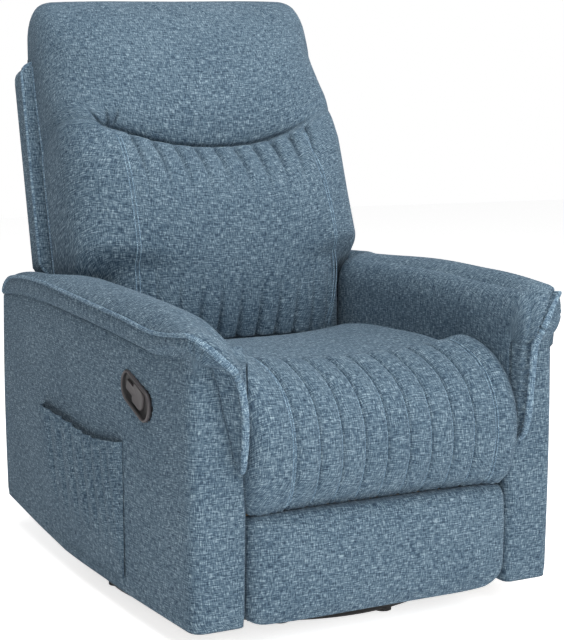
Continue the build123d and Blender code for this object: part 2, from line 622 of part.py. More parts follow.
def pieces():
    """Every node by name, as the list of its solids."""
    arm_r, arm_l = both(arm_cover())
    frame_r, frame_l = both(arm_frame())
    bezel_seat = handle_oval(126.4, 62.4, -6, 30) + handle_oval(112.4, 48.4, -28.2, -6)
    arm_l -= bezel_seat
    arm_l -= cable_hole(-frame_in - 1, -ARM_IN + 1)
    frame_l -= handle_oval(122, 58, -40, 0)
    frame_l -= cable_hole(-frame_in - 16, -frame_in + 1)
    parts = {
        "base_ring": [ring_tube()],
        "base_spider": [spider()],
        "base_glides": glides(),
        "swivel_lower_plate": [swivel_plate(HUB_TOP, 150)],
        "swivel_bearing_ring": [bearing_ring()],
        "swivel_king_bolt": [king_bolt()],
        "swivel_upper_plate": [swivel_plate(upper_plate_low, 170)],
        "front_cross_channel": [cross_channel(-66)],
        "rear_cross_channel": [cross_channel(66)],
        "seat_front_rail": [block(-SIDE_PLATE_OUT, SIDE_PLATE_OUT, SEAT_BOX_FRONT, -300, RAIL_LOW, RAIL_HIGH)],
        "seat_rear_rail": [block(-SIDE_PLATE_IN, SIDE_PLATE_IN, 165, SEAT_BOX_REAR, RAIL_LOW, RAIL_HIGH)],
        "seat_straps": seat_straps(),
        "seat_cushion": [seat_cushion()],
        "right_arm_frame": [frame_r],
        "left_arm_frame": [frame_l],
        "right_arm_cover": [arm_r],
        "left_arm_cover": [arm_l],
        "arm_bolts": [twin for spot in bolt_spots for twin in both(arm_bolt(spot))],
        "link_pivot_pins": list(both(headed_pin(LINK_PIVOT, rear_layer[0] - 2.3, SIDE_PLATE_OUT, link_pin_radius))),
        "back_hinge_pins": list(both(headed_pin(back_hinge, rear_layer[0] - 2.3, SIDE_PLATE_OUT, back_pin_radius))),
        "side_pocket": [side_pocket()],
        "handle_bezel": [handle_bezel()],
        "handle_pin": [handle_pin()],
        "handle_lever": [handle_lever()],
        "release_cable": [release_cable()],
        "link_torque_tube": [rod(-rear_layer[0], rear_layer[0], tube_spot, 8)],
        "rear_link_pins": list(both(headed_pin(knee, front_layer[0] - 2.3, rear_layer[1], link_pin_radius))),
        "front_link_pins": list(both(headed_pin(FOOT_PIVOT, bracket_layer[0] - 2.3, front_layer[1], link_pin_radius))),
        "footrest_board": [block(-230, 230, BOARD_FRONT, BOARD_BACK, 48, 210)],
        "footrest_pad": [footrest_pad()],
        "back_top_rail": [back_rail(BACK_SHELL_TOP - 55, BACK_SHELL_TOP - 10)],
        "back_middle_rail": [back_rail(320, 360)],
        "back_bottom_rail": [back_rail(30, 75, STILE_IN - LINK_THICKNESS)],
        "back_straps": back_straps(),
        "back_shell": [back_shell()],
        "back_post_bolts": [twin for height in post_bolt_heights for twin in both(post_bolt(height))],
        "lumbar_cushion": [lumbar_cushion()],
        "head_pillow": [head_pillow()],
    }
    paired = {
        "side_plate": side_plate(),
        "seat_side_rail": seat_side_rail(),
        "arm_pad": arm_pad(),
        "rear_link": rear_link(),
        "front_link": front_link(),
        "footrest_bracket": foot_bracket(),
        "back_post": back_post(),
        "back_stile": back_stile(),
        "back_bolster": back_bolster(),
    }
    for name, shape in paired.items():
        right, left = both(shape)
        parts[f"right_{name}"] = [right]
        parts[f"left_{name}"] = [left]
    return parts


os.makedirs("parts", exist_ok=True)
for node, solids in pieces().items():
    save(node, *solids)
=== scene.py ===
import bmesh
import bpy
import numpy as np
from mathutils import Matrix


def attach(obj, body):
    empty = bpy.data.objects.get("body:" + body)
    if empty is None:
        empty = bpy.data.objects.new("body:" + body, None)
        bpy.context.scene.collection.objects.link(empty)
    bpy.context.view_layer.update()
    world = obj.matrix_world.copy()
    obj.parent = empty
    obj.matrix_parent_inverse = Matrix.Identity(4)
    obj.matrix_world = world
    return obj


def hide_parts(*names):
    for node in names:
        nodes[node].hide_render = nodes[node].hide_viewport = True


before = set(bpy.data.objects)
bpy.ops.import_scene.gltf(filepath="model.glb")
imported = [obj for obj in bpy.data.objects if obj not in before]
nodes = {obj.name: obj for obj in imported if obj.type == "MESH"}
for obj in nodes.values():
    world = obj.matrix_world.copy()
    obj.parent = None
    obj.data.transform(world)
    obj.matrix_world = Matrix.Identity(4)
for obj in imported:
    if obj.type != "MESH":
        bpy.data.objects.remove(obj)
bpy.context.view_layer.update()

# The studio: a pale floor, a broad soft light ahead, others beside it and overhead, and a bright room all round.
# The camera stands ahead and to the chair's left, a little above the arms. Sizes below are in millimetres,
# and each mesh is made in metres.
MM = 0.001
scene = bpy.context.scene
camera_data = bpy.data.cameras.new("camera")
camera_data.lens = 85.7
camera_data.sensor_width = 36
camera = bpy.data.objects.new("camera", camera_data)
camera.location = np.array((-1231.98, -2392.09, 825.5)) * MM
camera.rotation_euler = np.radians((90 - 7.85, 0, -27.5))
scene.collection.objects.link(camera)
scene.camera = camera


def soft_light(name, place, aim, side, power):
    """Square area light at a place, turned to face an aim point."""
    data = bpy.data.lights.new(name, "AREA")
    data.size = side
    data.energy = power
    lamp = bpy.data.objects.new(name, data)
    lamp.location = place
    toward = np.subtract(aim, place)
    flat = np.hypot(toward[0], toward[1])
    lamp.rotation_euler = (np.arctan2(flat, -toward[2]), 0, np.arctan2(toward[1], toward[0]) - np.pi / 2)
    scene.collection.objects.link(lamp)


def add(tree, kind, inputs=None, **settings):
    """Adds a shader node, sets its properties and fills its inputs with numbers or links."""
    made = tree.nodes.new(kind)
    for key, value in settings.items():
        setattr(made, key, value)
    for key, value in (inputs or {}).items():
        if isinstance(value, bpy.types.NodeSocket):
            tree.links.new(value, made.inputs[key])
        else:
            made.inputs[key].default_value = value
    return made


soft_light("key_light", (0.9, -3.2, 1.9), (0, 0, 0.5), 2.0, 47)
soft_light("side_light", (3.0, -0.6, 1.6), (0, 0, 0.5), 2.0, 24)
soft_light("top_light", (-0.5, -0.8, 4.2), (-0.15, -0.1, 0.5), 3.0, 132)
soft_light("fill_light", (-1.6, -3.0, 1.2), (0, 0, 0.4), 0.8, 24)
world = bpy.data.worlds.new("room")
world.use_nodes = True
room = world.node_tree
facing = add(room, "ShaderNodeTexCoord").outputs["Generated"]
across = add(room, "ShaderNodeSeparateXYZ", {"Vector": facing}).outputs["X"]
lit = add(room, "ShaderNodeMapRange", {"Value": across, "From Min": -1.0, "To Min": 0.05, "To Max": 0.44})
seen = add(room, "ShaderNodeLightPath").outputs["Is Camera Ray"]
shown = add(room, "ShaderNodeMath", {0: lit.outputs["Result"], 1: seen}, operation="MAXIMUM").outputs[0]
room.links.new(shown, room.nodes["Background"].inputs["Strength"])
room.nodes["Background"].inputs["Color"].default_value = (1, 1, 1, 1)
scene.world = world
scene.view_settings.view_transform = "Standard"


def new_material(name, **sockets):
    """Principled material with the given plain socket values; returns it with its tree and shader."""
    material = bpy.data.materials.new(name)
    material.use_nodes = True
    tree = material.node_tree
    tree.nodes.clear()
    shader = add(tree, "ShaderNodeBsdfPrincipled", {key.replace("_", " "): value for key, value in sockets.items()})
    out = add(tree, "ShaderNodeOutputMaterial")
    tree.links.new(shader.outputs["BSDF"], out.inputs["Surface"])
    return material, tree, shader


def noise(tree, scale, detail, stretch=(1, 1, 1), **more):
    """Share of a noise on Object coordinates, which are first stretched by a factor for each axis."""
    place = add(tree, "ShaderNodeTexCoord").outputs["Object"]
    run = add(tree, "ShaderNodeMapping", {"Vector": place, "Scale": stretch}).outputs["Vector"]
    return add(tree, "ShaderNodeTexNoise", {"Vector": run, "Scale": scale, "Detail": detail, **more}).outputs["Fac"]


def tinted(tree, shader, share, dark, light):
    """Base colour that runs from a dark to a light shade with a share."""
    tint = add(tree, "ShaderNodeMix", {"Factor": share, "A": (*dark, 1), "B": (*light, 1)}, data_type="RGBA")
    tree.links.new(tint.outputs["Result"], shader.inputs["Base Color"])


def floor_finish():
    """White light-table floor with a trace of mottling: it glows, so that it stays white beside the shadow, and throws
    less of that glow on the chair."""
    material, tree, shader = new_material("studio_floor", Roughness=0.9, Emission_Color=(1, 1, 1, 1))
    tinted(tree, shader, noise(tree, 3.0, 2.0), (0.93, 0.93, 0.93), (0.96, 0.96, 0.96))
    seen = add(tree, "ShaderNodeLightPath").outputs["Is Camera Ray"]
    glow = add(tree, "ShaderNodeMapRange", {"Value": seen, "To Min": 0.2, "To Max": 0.72}).outputs["Result"]
    tree.links.new(glow, shader.inputs["Emission Strength"])
    return material


floor_mesh = bpy.data.meshes.new("studio_floor")
floor_mesh.from_pydata([(-9, -9, 0), (9, -9, 0), (9, 9, 0), (-9, 9, 0)], [], [(0, 1, 2, 3)])
floor = bpy.data.objects.new("studio_floor", floor_mesh)
floor_mesh.materials.append(floor_finish())
scene.collection.objects.link(floor)

# Ring base: a bent steel tube on ten plastic glides, with a welded cross that carries the swivel plates.
# The tube is round, in black powder coat; the cross, plates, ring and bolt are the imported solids.
RING_RADIUS = 300
RING_TUBE = 13
RING_HEIGHT = 15.5


def walked(path):
    """Length along a path from its start to each of its points."""
    return np.cumsum(np.linalg.norm(np.diff(path, axis=0, prepend=path[:1]), axis=1))


def grid_piece(name, points, wrap=False, loop=False, caps=False, zero=0, chart=None):
    """Mesh on a grid of points, rows by columns, in millimetres. Wrap joins the last column to the first, loop the
    last row to the first, and caps close both end rows. The UV map holds lengths in metres: across, along each row from
    the column named zero, and down, along that column; or else it is a chart of places in millimetres that is given."""
    rows, cols = points.shape[:2]
    index = np.arange(rows * cols).reshape(rows, cols)
    if wrap:
        index = np.concatenate((index, index[:, :1]), axis=1)
    if loop:
        index = np.concatenate((index, index[:1]), axis=0)
    quads = np.stack((index[:-1, :-1], index[:-1, 1:], index[1:, 1:], index[1:, :-1]), axis=-1).reshape(-1, 4)
    flat = points.reshape(-1, 3) * MM
    placed = flat[index]
    along = np.cumsum(np.linalg.norm(np.diff(placed, axis=1, prepend=placed[:, :1]), axis=2), axis=1)
    down = walked(placed[:, zero])
    along -= along[:, zero, None]
    if chart is None:
        chart = np.stack(np.broadcast_arrays(along, down[:, None]), axis=-1)
    else:
        chart = np.concatenate((chart, chart[:, :1]), axis=1) * MM
    corners = np.stack((chart[:-1, :-1], chart[:-1, 1:], chart[1:, 1:], chart[1:, :-1]), axis=-2).reshape(-1, 2)
    faces = quads.tolist()
    if caps:
        ends = (index[0, :cols][::-1], index[-1, :cols])
        faces += [end.tolist() for end in ends]
        corners = np.concatenate([corners] + [flat[end][:, (0, 2)] for end in ends])
    mesh = bpy.data.meshes.new(name)
    mesh.from_pydata(flat.tolist(), [], faces)
    mesh.uv_layers.new(name="lengths").data.foreach_set("uv", corners.ravel())
    mesh.polygons.foreach_set("use_smooth", np.ones(len(mesh.polygons), dtype=bool))
    work = bmesh.new()
    work.from_mesh(mesh)
    bmesh.ops.recalc_face_normals(work, faces=work.faces)
    work.to_mesh(mesh)
    work.free()
    piece = bpy.data.objects.new(name, mesh)
    scene.collection.objects.link(piece)
    return piece


def tube_along(name, path, radius, sides=10, loop=False):
    """Round tube round a path: rings in the plane of two axes that stay square to the path."""
    heading = np.gradient(path, axis=0)
    if loop:
        heading = np.roll(path, -1, axis=0) - np.roll(path, 1, axis=0)
    heading /= np.linalg.norm(heading, axis=1, keepdims=True)
    guide = np.where(np.abs(heading[:, 2:]) > 0.9, (0.0, 1.0, 0.0), (0.0, 0.0, 1.0))
    first = np.cross(heading, guide)
    first /= np.linalg.norm(first, axis=1, keepdims=True)
    second = np.cross(heading, first)
    turn = np.linspace(0, 2 * np.pi, sides, endpoint=False)[None, :, None]
    rings = path[:, None] + radius * (np.cos(turn) * first[:, None] + np.sin(turn) * second[:, None])
    return grid_piece(name, rings, wrap=True, loop=loop, caps=not loop)


def glossed(tree, shader, share, low, high):
    """Roughness that runs between two values with a share."""
    gloss = add(tree, "ShaderNodeMapRange", {"Value": share, "To Min": low, "To Max": high})
    tree.links.new(gloss.outputs["Result"], shader.inputs["Roughness"])


def embossed(tree, shader, height, strength, depth):
    """Bump that follows a height, with its depth in metres."""
    relief = add(tree, "ShaderNodeBump", {"Height": height, "Strength": strength, "Distance": depth})
    tree.links.new(relief.outputs["Normal"], shader.inputs["Normal"])


def black_coat():
    """Black powder coat: fine orange-peel bump and a soft gloss that varies a little."""
    material, tree, shader = new_material("black_powder_coat", Base_Color=(0.012, 0.012, 0.013, 1))
    peel = noise(tree, 900.0, 2.0)
    glossed(tree, shader, peel, 0.34, 0.5)
    embossed(tree, shader, peel, 0.25, 0.0003)
    return material


def moulded_plastic(name, shade):
    """Moulded plastic of one shade: spark-eroded grain and a dull sheen."""
    material, tree, shader = new_material(name, Base_Color=shade)
    grain = noise(tree, 1600.0, 3.0)
    glossed(tree, shader, grain, 0.38, 0.55)
    embossed(tree, shader, grain, 0.3, 0.0002)
    return material


def dress(material, *names):
    """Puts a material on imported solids."""
    for name in names:
        nodes[name].data.materials.clear()
        nodes[name].data.materials.append(material)


def finish_piece(piece, material, body, slot, *replaced):
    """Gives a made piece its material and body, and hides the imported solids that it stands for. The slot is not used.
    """
    piece.data.materials.append(material)
    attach(piece, body)
    if replaced:
        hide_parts(*replaced)


coat = black_coat()
plastic = moulded_plastic("black_moulded_plastic", (0.028, 0.027, 0.028, 1))
turn = np.linspace(0, 2 * np.pi, 120, endpoint=False)
ring_path = np.stack((RING_RADIUS * np.cos(turn), RING_RADIUS * np.sin(turn), np.full_like(turn, RING_HEIGHT)), axis=1)
ring = tube_along("ring_tube", ring_path, RING_TUBE, 20, loop=True)
finish_piece(ring, coat, "base", "black_steel", "base_ring")
dress(coat, "base_spider")
dress(plastic, "base_glides", "swivel_bearing_ring", "release_cable")

# Mechanism: pressed side plates, links, pins, bolts and swivel plates in bright zinc.
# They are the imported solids, seen only from below or with the footrest out.


def zinc_plate():
    """Bright zinc plating: cool grey metal, faint rolling streaks and dull patches."""
    material, tree, shader = new_material("zinc_plate", Metallic=1.0)
    tinted(tree, shader, noise(tree, 35.0, 3.0), (0.46, 0.47, 0.49), (0.62, 0.62, 0.60))
    glossed(tree, shader, noise(tree, 1.0, 3.0, (400, 12, 400)), 0.28, 0.5)
    return material


zinc = zinc_plate()
pairs = ("side_plate", "rear_link", "front_link", "footrest_bracket", "back_post")
dress(zinc, *(f"{side}_{name}" for side in ("right", "left") for name in pairs))
dress(zinc, "swivel_lower_plate", "swivel_king_bolt", "swivel_upper_plate", "front_cross_channel", "rear_cross_channel",
      "link_pivot_pins", "back_hinge_pins", "rear_link_pins", "front_link_pins", "arm_bolts", "back_post_bolts",
      "handle_pin", "link_torque_tube")

# Timber and webbing: plain plywood rails, boards and stiles, glued and screwed, with woven elastic straps
# stretched over them under the cushions.


def plain_timber():
    """Plain softwood: brown growth lines drawn out along one axis, with fine pores."""
    material, tree, shader = new_material("plain_timber", Roughness=0.7)
    grain = noise(tree, 1.0, 5.0, (6, 30, 60), Distortion=0.8)
    tinted(tree, shader, grain, (0.36, 0.23, 0.12), (0.62, 0.46, 0.28))
    embossed(tree, shader, grain, 0.2, 0.0006)
    return material


def elastic_strap():
    """Dark woven elastic: close ribs along the strap with a lighter fleck."""
    material, tree, shader = new_material("elastic_strap", Roughness=0.85)
    place = add(tree, "ShaderNodeTexCoord").outputs["Object"]
    rib = add(tree, "ShaderNodeTexWave", {"Vector": place, "Scale": 90.0, "Distortion": 0.4},
              bands_direction="DIAGONAL").outputs["Fac"]
    tinted(tree, shader, rib, (0.03, 0.028, 0.026), (0.10, 0.095, 0.09))
    embossed(tree, shader, rib, 0.4, 0.0008)
    return material


timber = plain_timber()
strap = elastic_strap()
wood_pairs = ("seat_side_rail", "arm_frame", "back_stile")
dress(timber, *(f"{side}_{name}" for side in ("right", "left") for name in wood_pairs))
dress(timber, "seat_front_rail", "seat_rear_rail", "footrest_board", "back_top_rail", "back_middle_rail",
      "back_bottom_rail")
dress(strap, "seat_straps", "back_straps")

# Arm covers: padded fabric over each plywood arm, open below. The outer side bows a little in plan, the
# front is a plain upright panel with soft corners, and the rear part beside the back is thin. The left
# cover has an oval opening for the release handle.
ARM_IN = 241
ARM_FRONT = -374
ARM_REAR = 504
ARM_STEP = 205
ARM_THIN_IN = 303
ARM_SIDE = ((ARM_FRONT, 331), (70, 350), (ARM_REAR, 342))
ARM_LOW = 40
ARM_LOW_REAR = 64
ARM_FRONT_RISE = 24
PAD_BASE = ((-380, 449), (-267, 453), (-161, 462), (-55, 470), (89, 477), (249, 482), (400, 478), (510, 466))
HANDLE_CENTRE = (-185, 378)
HANDLE_TILT = np.radians(19)
BEZEL_SIZE = (118, 52)
HANDLE_PROUD = 2


def through(knots, place):
    """Smooth line through (place, value) knots: cubic pieces whose slopes come from the neighbouring knots."""
    at, value = np.array(knots, dtype=float).T
    slope = np.gradient(value, at)
    i = np.clip(np.searchsorted(at, place) - 1, 0, len(at) - 2)
    span = at[i + 1] - at[i]
    f = (place - at[i]) / span
    start = (2 * f**3 - 3 * f**2 + 1) * value[i] + (f**3 - 2 * f**2 + f) * span * slope[i]
    return start + (3 * f**2 - 2 * f**3) * value[i + 1] + (f**3 - f**2) * span * slope[i + 1]


def step_up(value, low, high):
    """Smooth step: 0 below low, 1 above high, an S-shaped rise between."""
    f = np.clip((value - low) / (high - low), 0, 1)
    return f * f * (3 - 2 * f)


def slub_weave(name, lift=1.0):
    """Slate-blue slub weave: short light and dark yarn flecks along both thread directions over a plain weave.
    Warp and weft are noise stretched one way each on the length map, and the relief follows the yarns. The lift
    makes every shade lighter: on the cords it is a painted highlight, on the topstitch thread partly a paler thread
    and partly a painted highlight."""
    material, tree, shader = new_material(name, Roughness=0.95, Sheen_Weight=0.12, Sheen_Roughness=0.4,
                                          Sheen_Tint=(0.6, 0.72, 0.84, 1), Specular_IOR_Level=0.12)
    chart = add(tree, "ShaderNodeTexCoord").outputs["UV"]
    flecks = []
    for scale in ((84, 560, 1), (560, 95, 1), (26, 360, 1), (7, 9, 1)):
        run = add(tree, "ShaderNodeMapping", {"Vector": chart, "Scale": scale})
        flecks.append(add(tree, "ShaderNodeTexNoise", {"Vector": run.outputs["Vector"], "Scale": 1.0, "Detail": 2.0,
                                                       "Roughness": 0.6}).outputs["Fac"])
    yarns = [add(tree, "ShaderNodeTexWave", {"Vector": chart, "Scale": 150.0, "Distortion": 1.5, "Detail Scale": 3.0},
                 bands_direction=way).outputs["Fac"] for way in ("X", "Y")]

    def times_plus(value, factor, rest):
        return add(tree, "ShaderNodeMath", {0: value, 1: factor, 2: rest}, operation="MULTIPLY_ADD").outputs[0]

    threads = add(tree, "ShaderNodeMath", {0: yarns[0], 1: yarns[1]}, operation="MULTIPLY").outputs[0]
    crossed = add(tree, "ShaderNodeMath", {0: flecks[0], 1: flecks[1]}, operation="ADD").outputs[0]
    toned = times_plus(threads, 0.16, times_plus(flecks[3], 0.12, times_plus(flecks[2], 0.35, crossed)))
    share = add(tree, "ShaderNodeMapRange", {"Value": toned, "From Min": 0.97, "From Max": 1.58}).outputs["Result"]
    ramp = add(tree, "ShaderNodeValToRGB", {"Fac": share})
    shades = ((0.0, (0.017, 0.035, 0.063)), (0.4, (0.069, 0.112, 0.157)), (0.62, (0.117, 0.176, 0.228)),
              (1.0, (0.33, 0.43, 0.49)))
    for i, (at, shade) in enumerate(shades):
        stop = ramp.color_ramp.elements[i] if i < 2 else ramp.color_ramp.elements.new(at)
        stop.position = at
        stop.color = [min(1, value * lift) for value in shade] + [1]
    embossed(tree, shader, times_plus(threads, 0.5, crossed), 0.5, 0.0011)
    tree.links.new(ramp.outputs["Color"], shader.inputs["Base Color"])
    return material


def rounded_outline(corners, radii, count):
    """Closed outline through corners, each rounded by a curve that leaves and meets its edges a radius from the
    corner, sampled at even steps of length."""
    corners = np.array(corners, dtype=float)
    before = np.roll(corners, 1, axis=0) - corners
    after = np.roll(corners, -1, axis=0) - corners
    reach = np.array(radii, dtype=float)[:, None]
    start = corners + before / np.linalg.norm(before, axis=1, keepdims=True) * reach
    end = corners + after / np.linalg.norm(after, axis=1, keepdims=True) * reach
    f = np.linspace(0, 1, 9)[None, :, None]
    bends = (1 - f) ** 2 * start[:, None] + 2 * f * (1 - f) * corners[:, None] + f**2 * end[:, None]
    line = np.concatenate((bends.reshape(-1, 2), bends[0, :1]))
    length = walked(line)
    even = np.linspace(0, length[-1], count, endpoint=False)
    return np.stack((np.interp(even, length, line[:, 0]), np.interp(even, length, line[:, 1])), axis=1)


def arm_side(y):
    """Distance of the bowed outer side from the middle plane: a parabola through front, middle and rear."""
    return np.polyval(np.polyfit(*np.array(ARM_SIDE).T, 2), y)


def pad_lift(y, side):
    """Extra height of the right arm's pad and cover, more toward the front."""
    return (9 + 10 * step_up(-y, -250, 250) + 6 * step_up(-y, 180, 374)) * (side > 0)


def arm_top(y, side):
    """Height of an arm cover's top edge, under the pad: level with the pad's base and higher at the front."""
    return through(PAD_BASE, y) + ARM_FRONT_RISE * step_up(-y, 235, 345) + pad_lift(y, side)


def handle_axes(y, z):
    """Places along and across the tilted handle of points in the side plane, from the handle's middle."""
    forward, up = HANDLE_CENTRE[0] - y, z - HANDLE_CENTRE[1]
    cos, sin = np.cos(HANDLE_TILT), np.sin(HANDLE_TILT)
    return forward * cos - up * sin, forward * sin + up * cos


def outside_oval(along, across, length, width):
    """Distance outside an oval with round ends, negative within it."""
    past = np.maximum(np.abs(along) - (length - width) / 2, 0)
    return np.hypot(past, across) - width / 2


def arm_cover(name, side):
    """Rings of the arm's plan from the hem up: hem turned in below, sides a little full, top drawn in under the pad.
    The fullness lies flat under the handle's rim, and the faces inside that rim are left out."""
    bow = [(arm_side(y), y) for y in (300, 70, -150)]
    plan = [(ARM_IN, ARM_FRONT), (ARM_IN, ARM_STEP), (ARM_THIN_IN, ARM_STEP), (ARM_THIN_IN, ARM_REAR + 6),
            (arm_side(ARM_REAR) + 2, ARM_REAR + 6), *bow, (arm_side(ARM_FRONT), ARM_FRONT)]
    outline = rounded_outline(plan, (16, 10, 6, 8, 14, 30, 30, 30, 24), 520)
    wall = np.linspace(0.009, 0.985, 96)
    share = np.concatenate((np.linspace(0.018, 0, 4), wall, (0.992, 0.997, 1, 1, 1)))
    inward = np.concatenate(((7, 6, 3.5, 1.2), 1.2 * (1 - step_up(wall, 0.009, 0.037)), (1.5, 4, 8, 13, 19)))
    low = ARM_LOW + (ARM_LOW_REAR - ARM_LOW) * np.clip((outline[:, 1] - 150) / 350, 0, 1)
    z = low + (arm_top(outline[:, 1], side) + 3 - low) * share[:, None]
    ahead = np.roll(outline, -1, axis=0) - np.roll(outline, 1, axis=0)
    out = np.stack((ahead[:, 1], -ahead[:, 0]), axis=1) / np.linalg.norm(ahead, axis=1, keepdims=True)
    out *= np.sign(np.sum(out * (outline - outline.mean(axis=0)), axis=1).mean())
    outer = (outline[:, 0] > arm_side(outline[:, 1]) - 3) & (side < 0)
    off = np.where(outer, outside_oval(*handle_axes(outline[:, 1], z), *BEZEL_SIZE), 1e3)
    full = 2.5 * np.sin(np.pi * share)[:, None] * step_up(off, 0, 26) - inward[:, None]
    rim = outline[None] + out[None] * full[:, :, None]
    points = np.concatenate((rim * (side, 1), z[:, :, None]), axis=2)
    cover = grid_piece(name, points, wrap=True)
    work = bmesh.new()
    work.from_mesh(cover.data)
    work.verts.ensure_lookup_table()
    inside = set(np.flatnonzero(off.ravel() < -3).tolist())
    bmesh.ops.delete(work, geom=[work.verts[i] for i in inside], context="VERTS")
    work.to_mesh(cover.data)
    work.free()
    return cover


weave = slub_weave("slate_slub_weave")
for side, hand in ((1, "right"), (-1, "left")):
    cover = arm_cover(f"{hand}_arm_fabric", side)
    finish_piece(cover, weave, "chair", "upholstery", f"{hand}_arm_cover")

# Release handle: a moulded bezel pressed into the oval opening and, in its dish, a T-shaped paddle on a pin.
# Pulling the paddle's wide end outward lets the footrest go. Grey-brown plastic with rounded edges.
BEZEL_RINGS = ((-1, -4), (0.5, -1), (0, 1), (-2, 2.4), (-4, 2.8), (-6.5, 2.4), (-8, 1), (-8.5, -1), (-9, -24),
               (-14, -25), (-50, -25))
BEZEL_POINTS = 96
# First bezel ring from which the dish faces take black plastic, as painted shade in the recess.
SHADE_PAINTED_FROM_RING = 6
PADDLE = ((-44, -8), (-15, -8), (-15, -17), (27, -17), (27, 17), (-15, 17), (-15, 8), (-44, 8))
PADDLE_ROUNDING = (3, 2, 4, 14, 14, 4, 2, 3)
PADDLE_RINGS = ((0.94, -12), (1, -11), (1, -3), (0.985, -1.6), (0.95, -1), (0.85, -1.2), (0.3, -1.8))


def on_handle(along, across, out):
    """From the handle's own axes to the left side of the chair."""
    y = HANDLE_CENTRE[0] - along * np.cos(HANDLE_TILT) - across * np.sin(HANDLE_TILT)
    z = HANDLE_CENTRE[1] - along * np.sin(HANDLE_TILT) + across * np.cos(HANDLE_TILT)
    x = -arm_side(HANDLE_CENTRE[0]) - HANDLE_PROUD - out
    return np.stack(np.broadcast_arrays(x, y, z), axis=-1)


def bezel_points():
    """Rings of the bezel from its outer edge over the rim, down the dish wall and in over the floor."""
    angle = np.linspace(0, 2 * np.pi, BEZEL_POINTS, endpoint=False)
    grow, out = np.array(BEZEL_RINGS).T[:, :, None]
    length, width = BEZEL_SIZE[0] + grow, BEZEL_SIZE[1] + grow
    along = np.sign(np.cos(angle)) * (length - width) / 2 + width / 2 * np.cos(angle)
    return on_handle(along, width / 2 * np.sin(angle), out)


def paddle_points():
    """Rings of the T outline: up the edge, round it and in over the face, which dips toward its middle."""
    outline = rounded_outline(PADDLE, PADDLE_ROUNDING, 120)
    middle = np.array((4, 0))
    scale, out = np.array(PADDLE_RINGS).T[:, :, None]
    ring = middle + (outline - middle) * scale[:, :, None]
    return on_handle(ring[:, :, 0], ring[:, :, 1], out)


handle_plastic = moulded_plastic("grey_moulded_plastic", (0.078, 0.07, 0.073, 1))
bezel = grid_piece("handle_bezel_moulding", bezel_points(), wrap=True, caps=True)
finish_piece(bezel, handle_plastic, "chair", "black_plastic", "handle_bezel")
# The dish's wall, floor and end faces take the black plastic: painted shade in the recess round the paddle.
bezel.data.materials.append(plastic)
ring_of = np.arange(len(bezel.data.polygons)) // BEZEL_POINTS
dish_painted_shade = (ring_of >= SHADE_PAINTED_FROM_RING) & (ring_of < len(BEZEL_RINGS))
bezel.data.polygons.foreach_set("material_index", dish_painted_shade.astype(np.int32))
paddle = grid_piece("handle_paddle", paddle_points(), wrap=True, caps=True)
finish_piece(paddle, handle_plastic, "lever", "black_plastic", "handle_lever")

# Side pocket: a patch of the same fabric sewn to the left arm along three edges. Elastic in its top hem
# gathers it into folds that run down and forward and fade out toward the bottom.
POCKET_FRONT = -135
POCKET_REAR = 240
POCKET_LOW = 66
POCKET_TOP = ((POCKET_FRONT, 293), (-21, 281), (102, 288), (POCKET_REAR, 294))
POCKET_BELLY = 15
POCKET_TURN = 90
POCKET_COLUMNS = 240
POCKET_FOLDS = ((-110, 6, 10), (-84, 6, 12), (-52, 7, 13), (-14, 7, 14), (28, 8, 14), (76, 8, 13), (128, 8, 12),
                (182, 8, 10))
FOLD_LEAN = 0.2


def crease(distance, width):
    """Sharp valley: 1 on its line, falling off at once to both sides."""
    return np.exp(-np.abs(distance) / width)


def hump(distance, width):
    """Bell curve: 1 in its middle, falling off softly to both sides."""
    return np.exp(-((distance / width) ** 2))


def pocket_points():
    """Columns from front to rear; each runs from the sewn bottom up the outside, over the hem and down inside.
    Folds are sharp valleys in its belly that deepen toward the hem and lean forward going down."""
    y = np.linspace(POCKET_FRONT, POCKET_REAR, POCKET_COLUMNS)[None]
    share = np.concatenate((np.linspace(0, 0.93, 60), np.linspace(0.94, 1, 10)))[:, None]
    top = through(POCKET_TOP, y)
    z = POCKET_LOW + (top - POCKET_LOW) * share
    inner_side = np.minimum(y - POCKET_FRONT, POCKET_REAR - y)
    sewn = step_up(inner_side, 0, 14)
    belly = 3 + POCKET_BELLY * np.sin(np.pi * share * 0.62) * sewn
    place = y + FOLD_LEAN * (top - z)
    folds = sum(high * crease(place - at, wide) for at, wide, high in POCKET_FOLDS)
    hem = step_up(share, 0.94, 0.96)
    fine = 0.9 * np.sin(2 * np.pi * y / 8.5) * hem
    edge = 2.2 * hump(inner_side - 3, 2.2)
    out = np.maximum(belly - folds * step_up(share, 0.1, 0.7) * sewn * (1 - 0.4 * hem), 3) + fine * sewn + edge
    lip = np.radians(np.linspace(30, 180, 6))[:, None]
    lip_out = out[-1:] - 1.6 * (1 - np.cos(lip))
    lip_z = top + 1.6 * np.sin(lip)
    down = np.linspace(0.05, 1, 12)[:, None]
    in_out = out[-1:] - 3.2 - (out[-1:] - 4.2) * down**2
    in_z = top - POCKET_TURN * down
    all_out = np.concatenate((out, lip_out, in_out))
    all_z = np.concatenate((z, lip_z, in_z))
    return np.stack((-arm_side(y) - all_out, np.broadcast_to(y, all_z.shape), all_z), axis=2)


pocket = grid_piece("side_pocket_fabric", pocket_points(), zero=POCKET_COLUMNS // 2)
finish_piece(pocket, weave, "chair", "upholstery", "side_pocket")

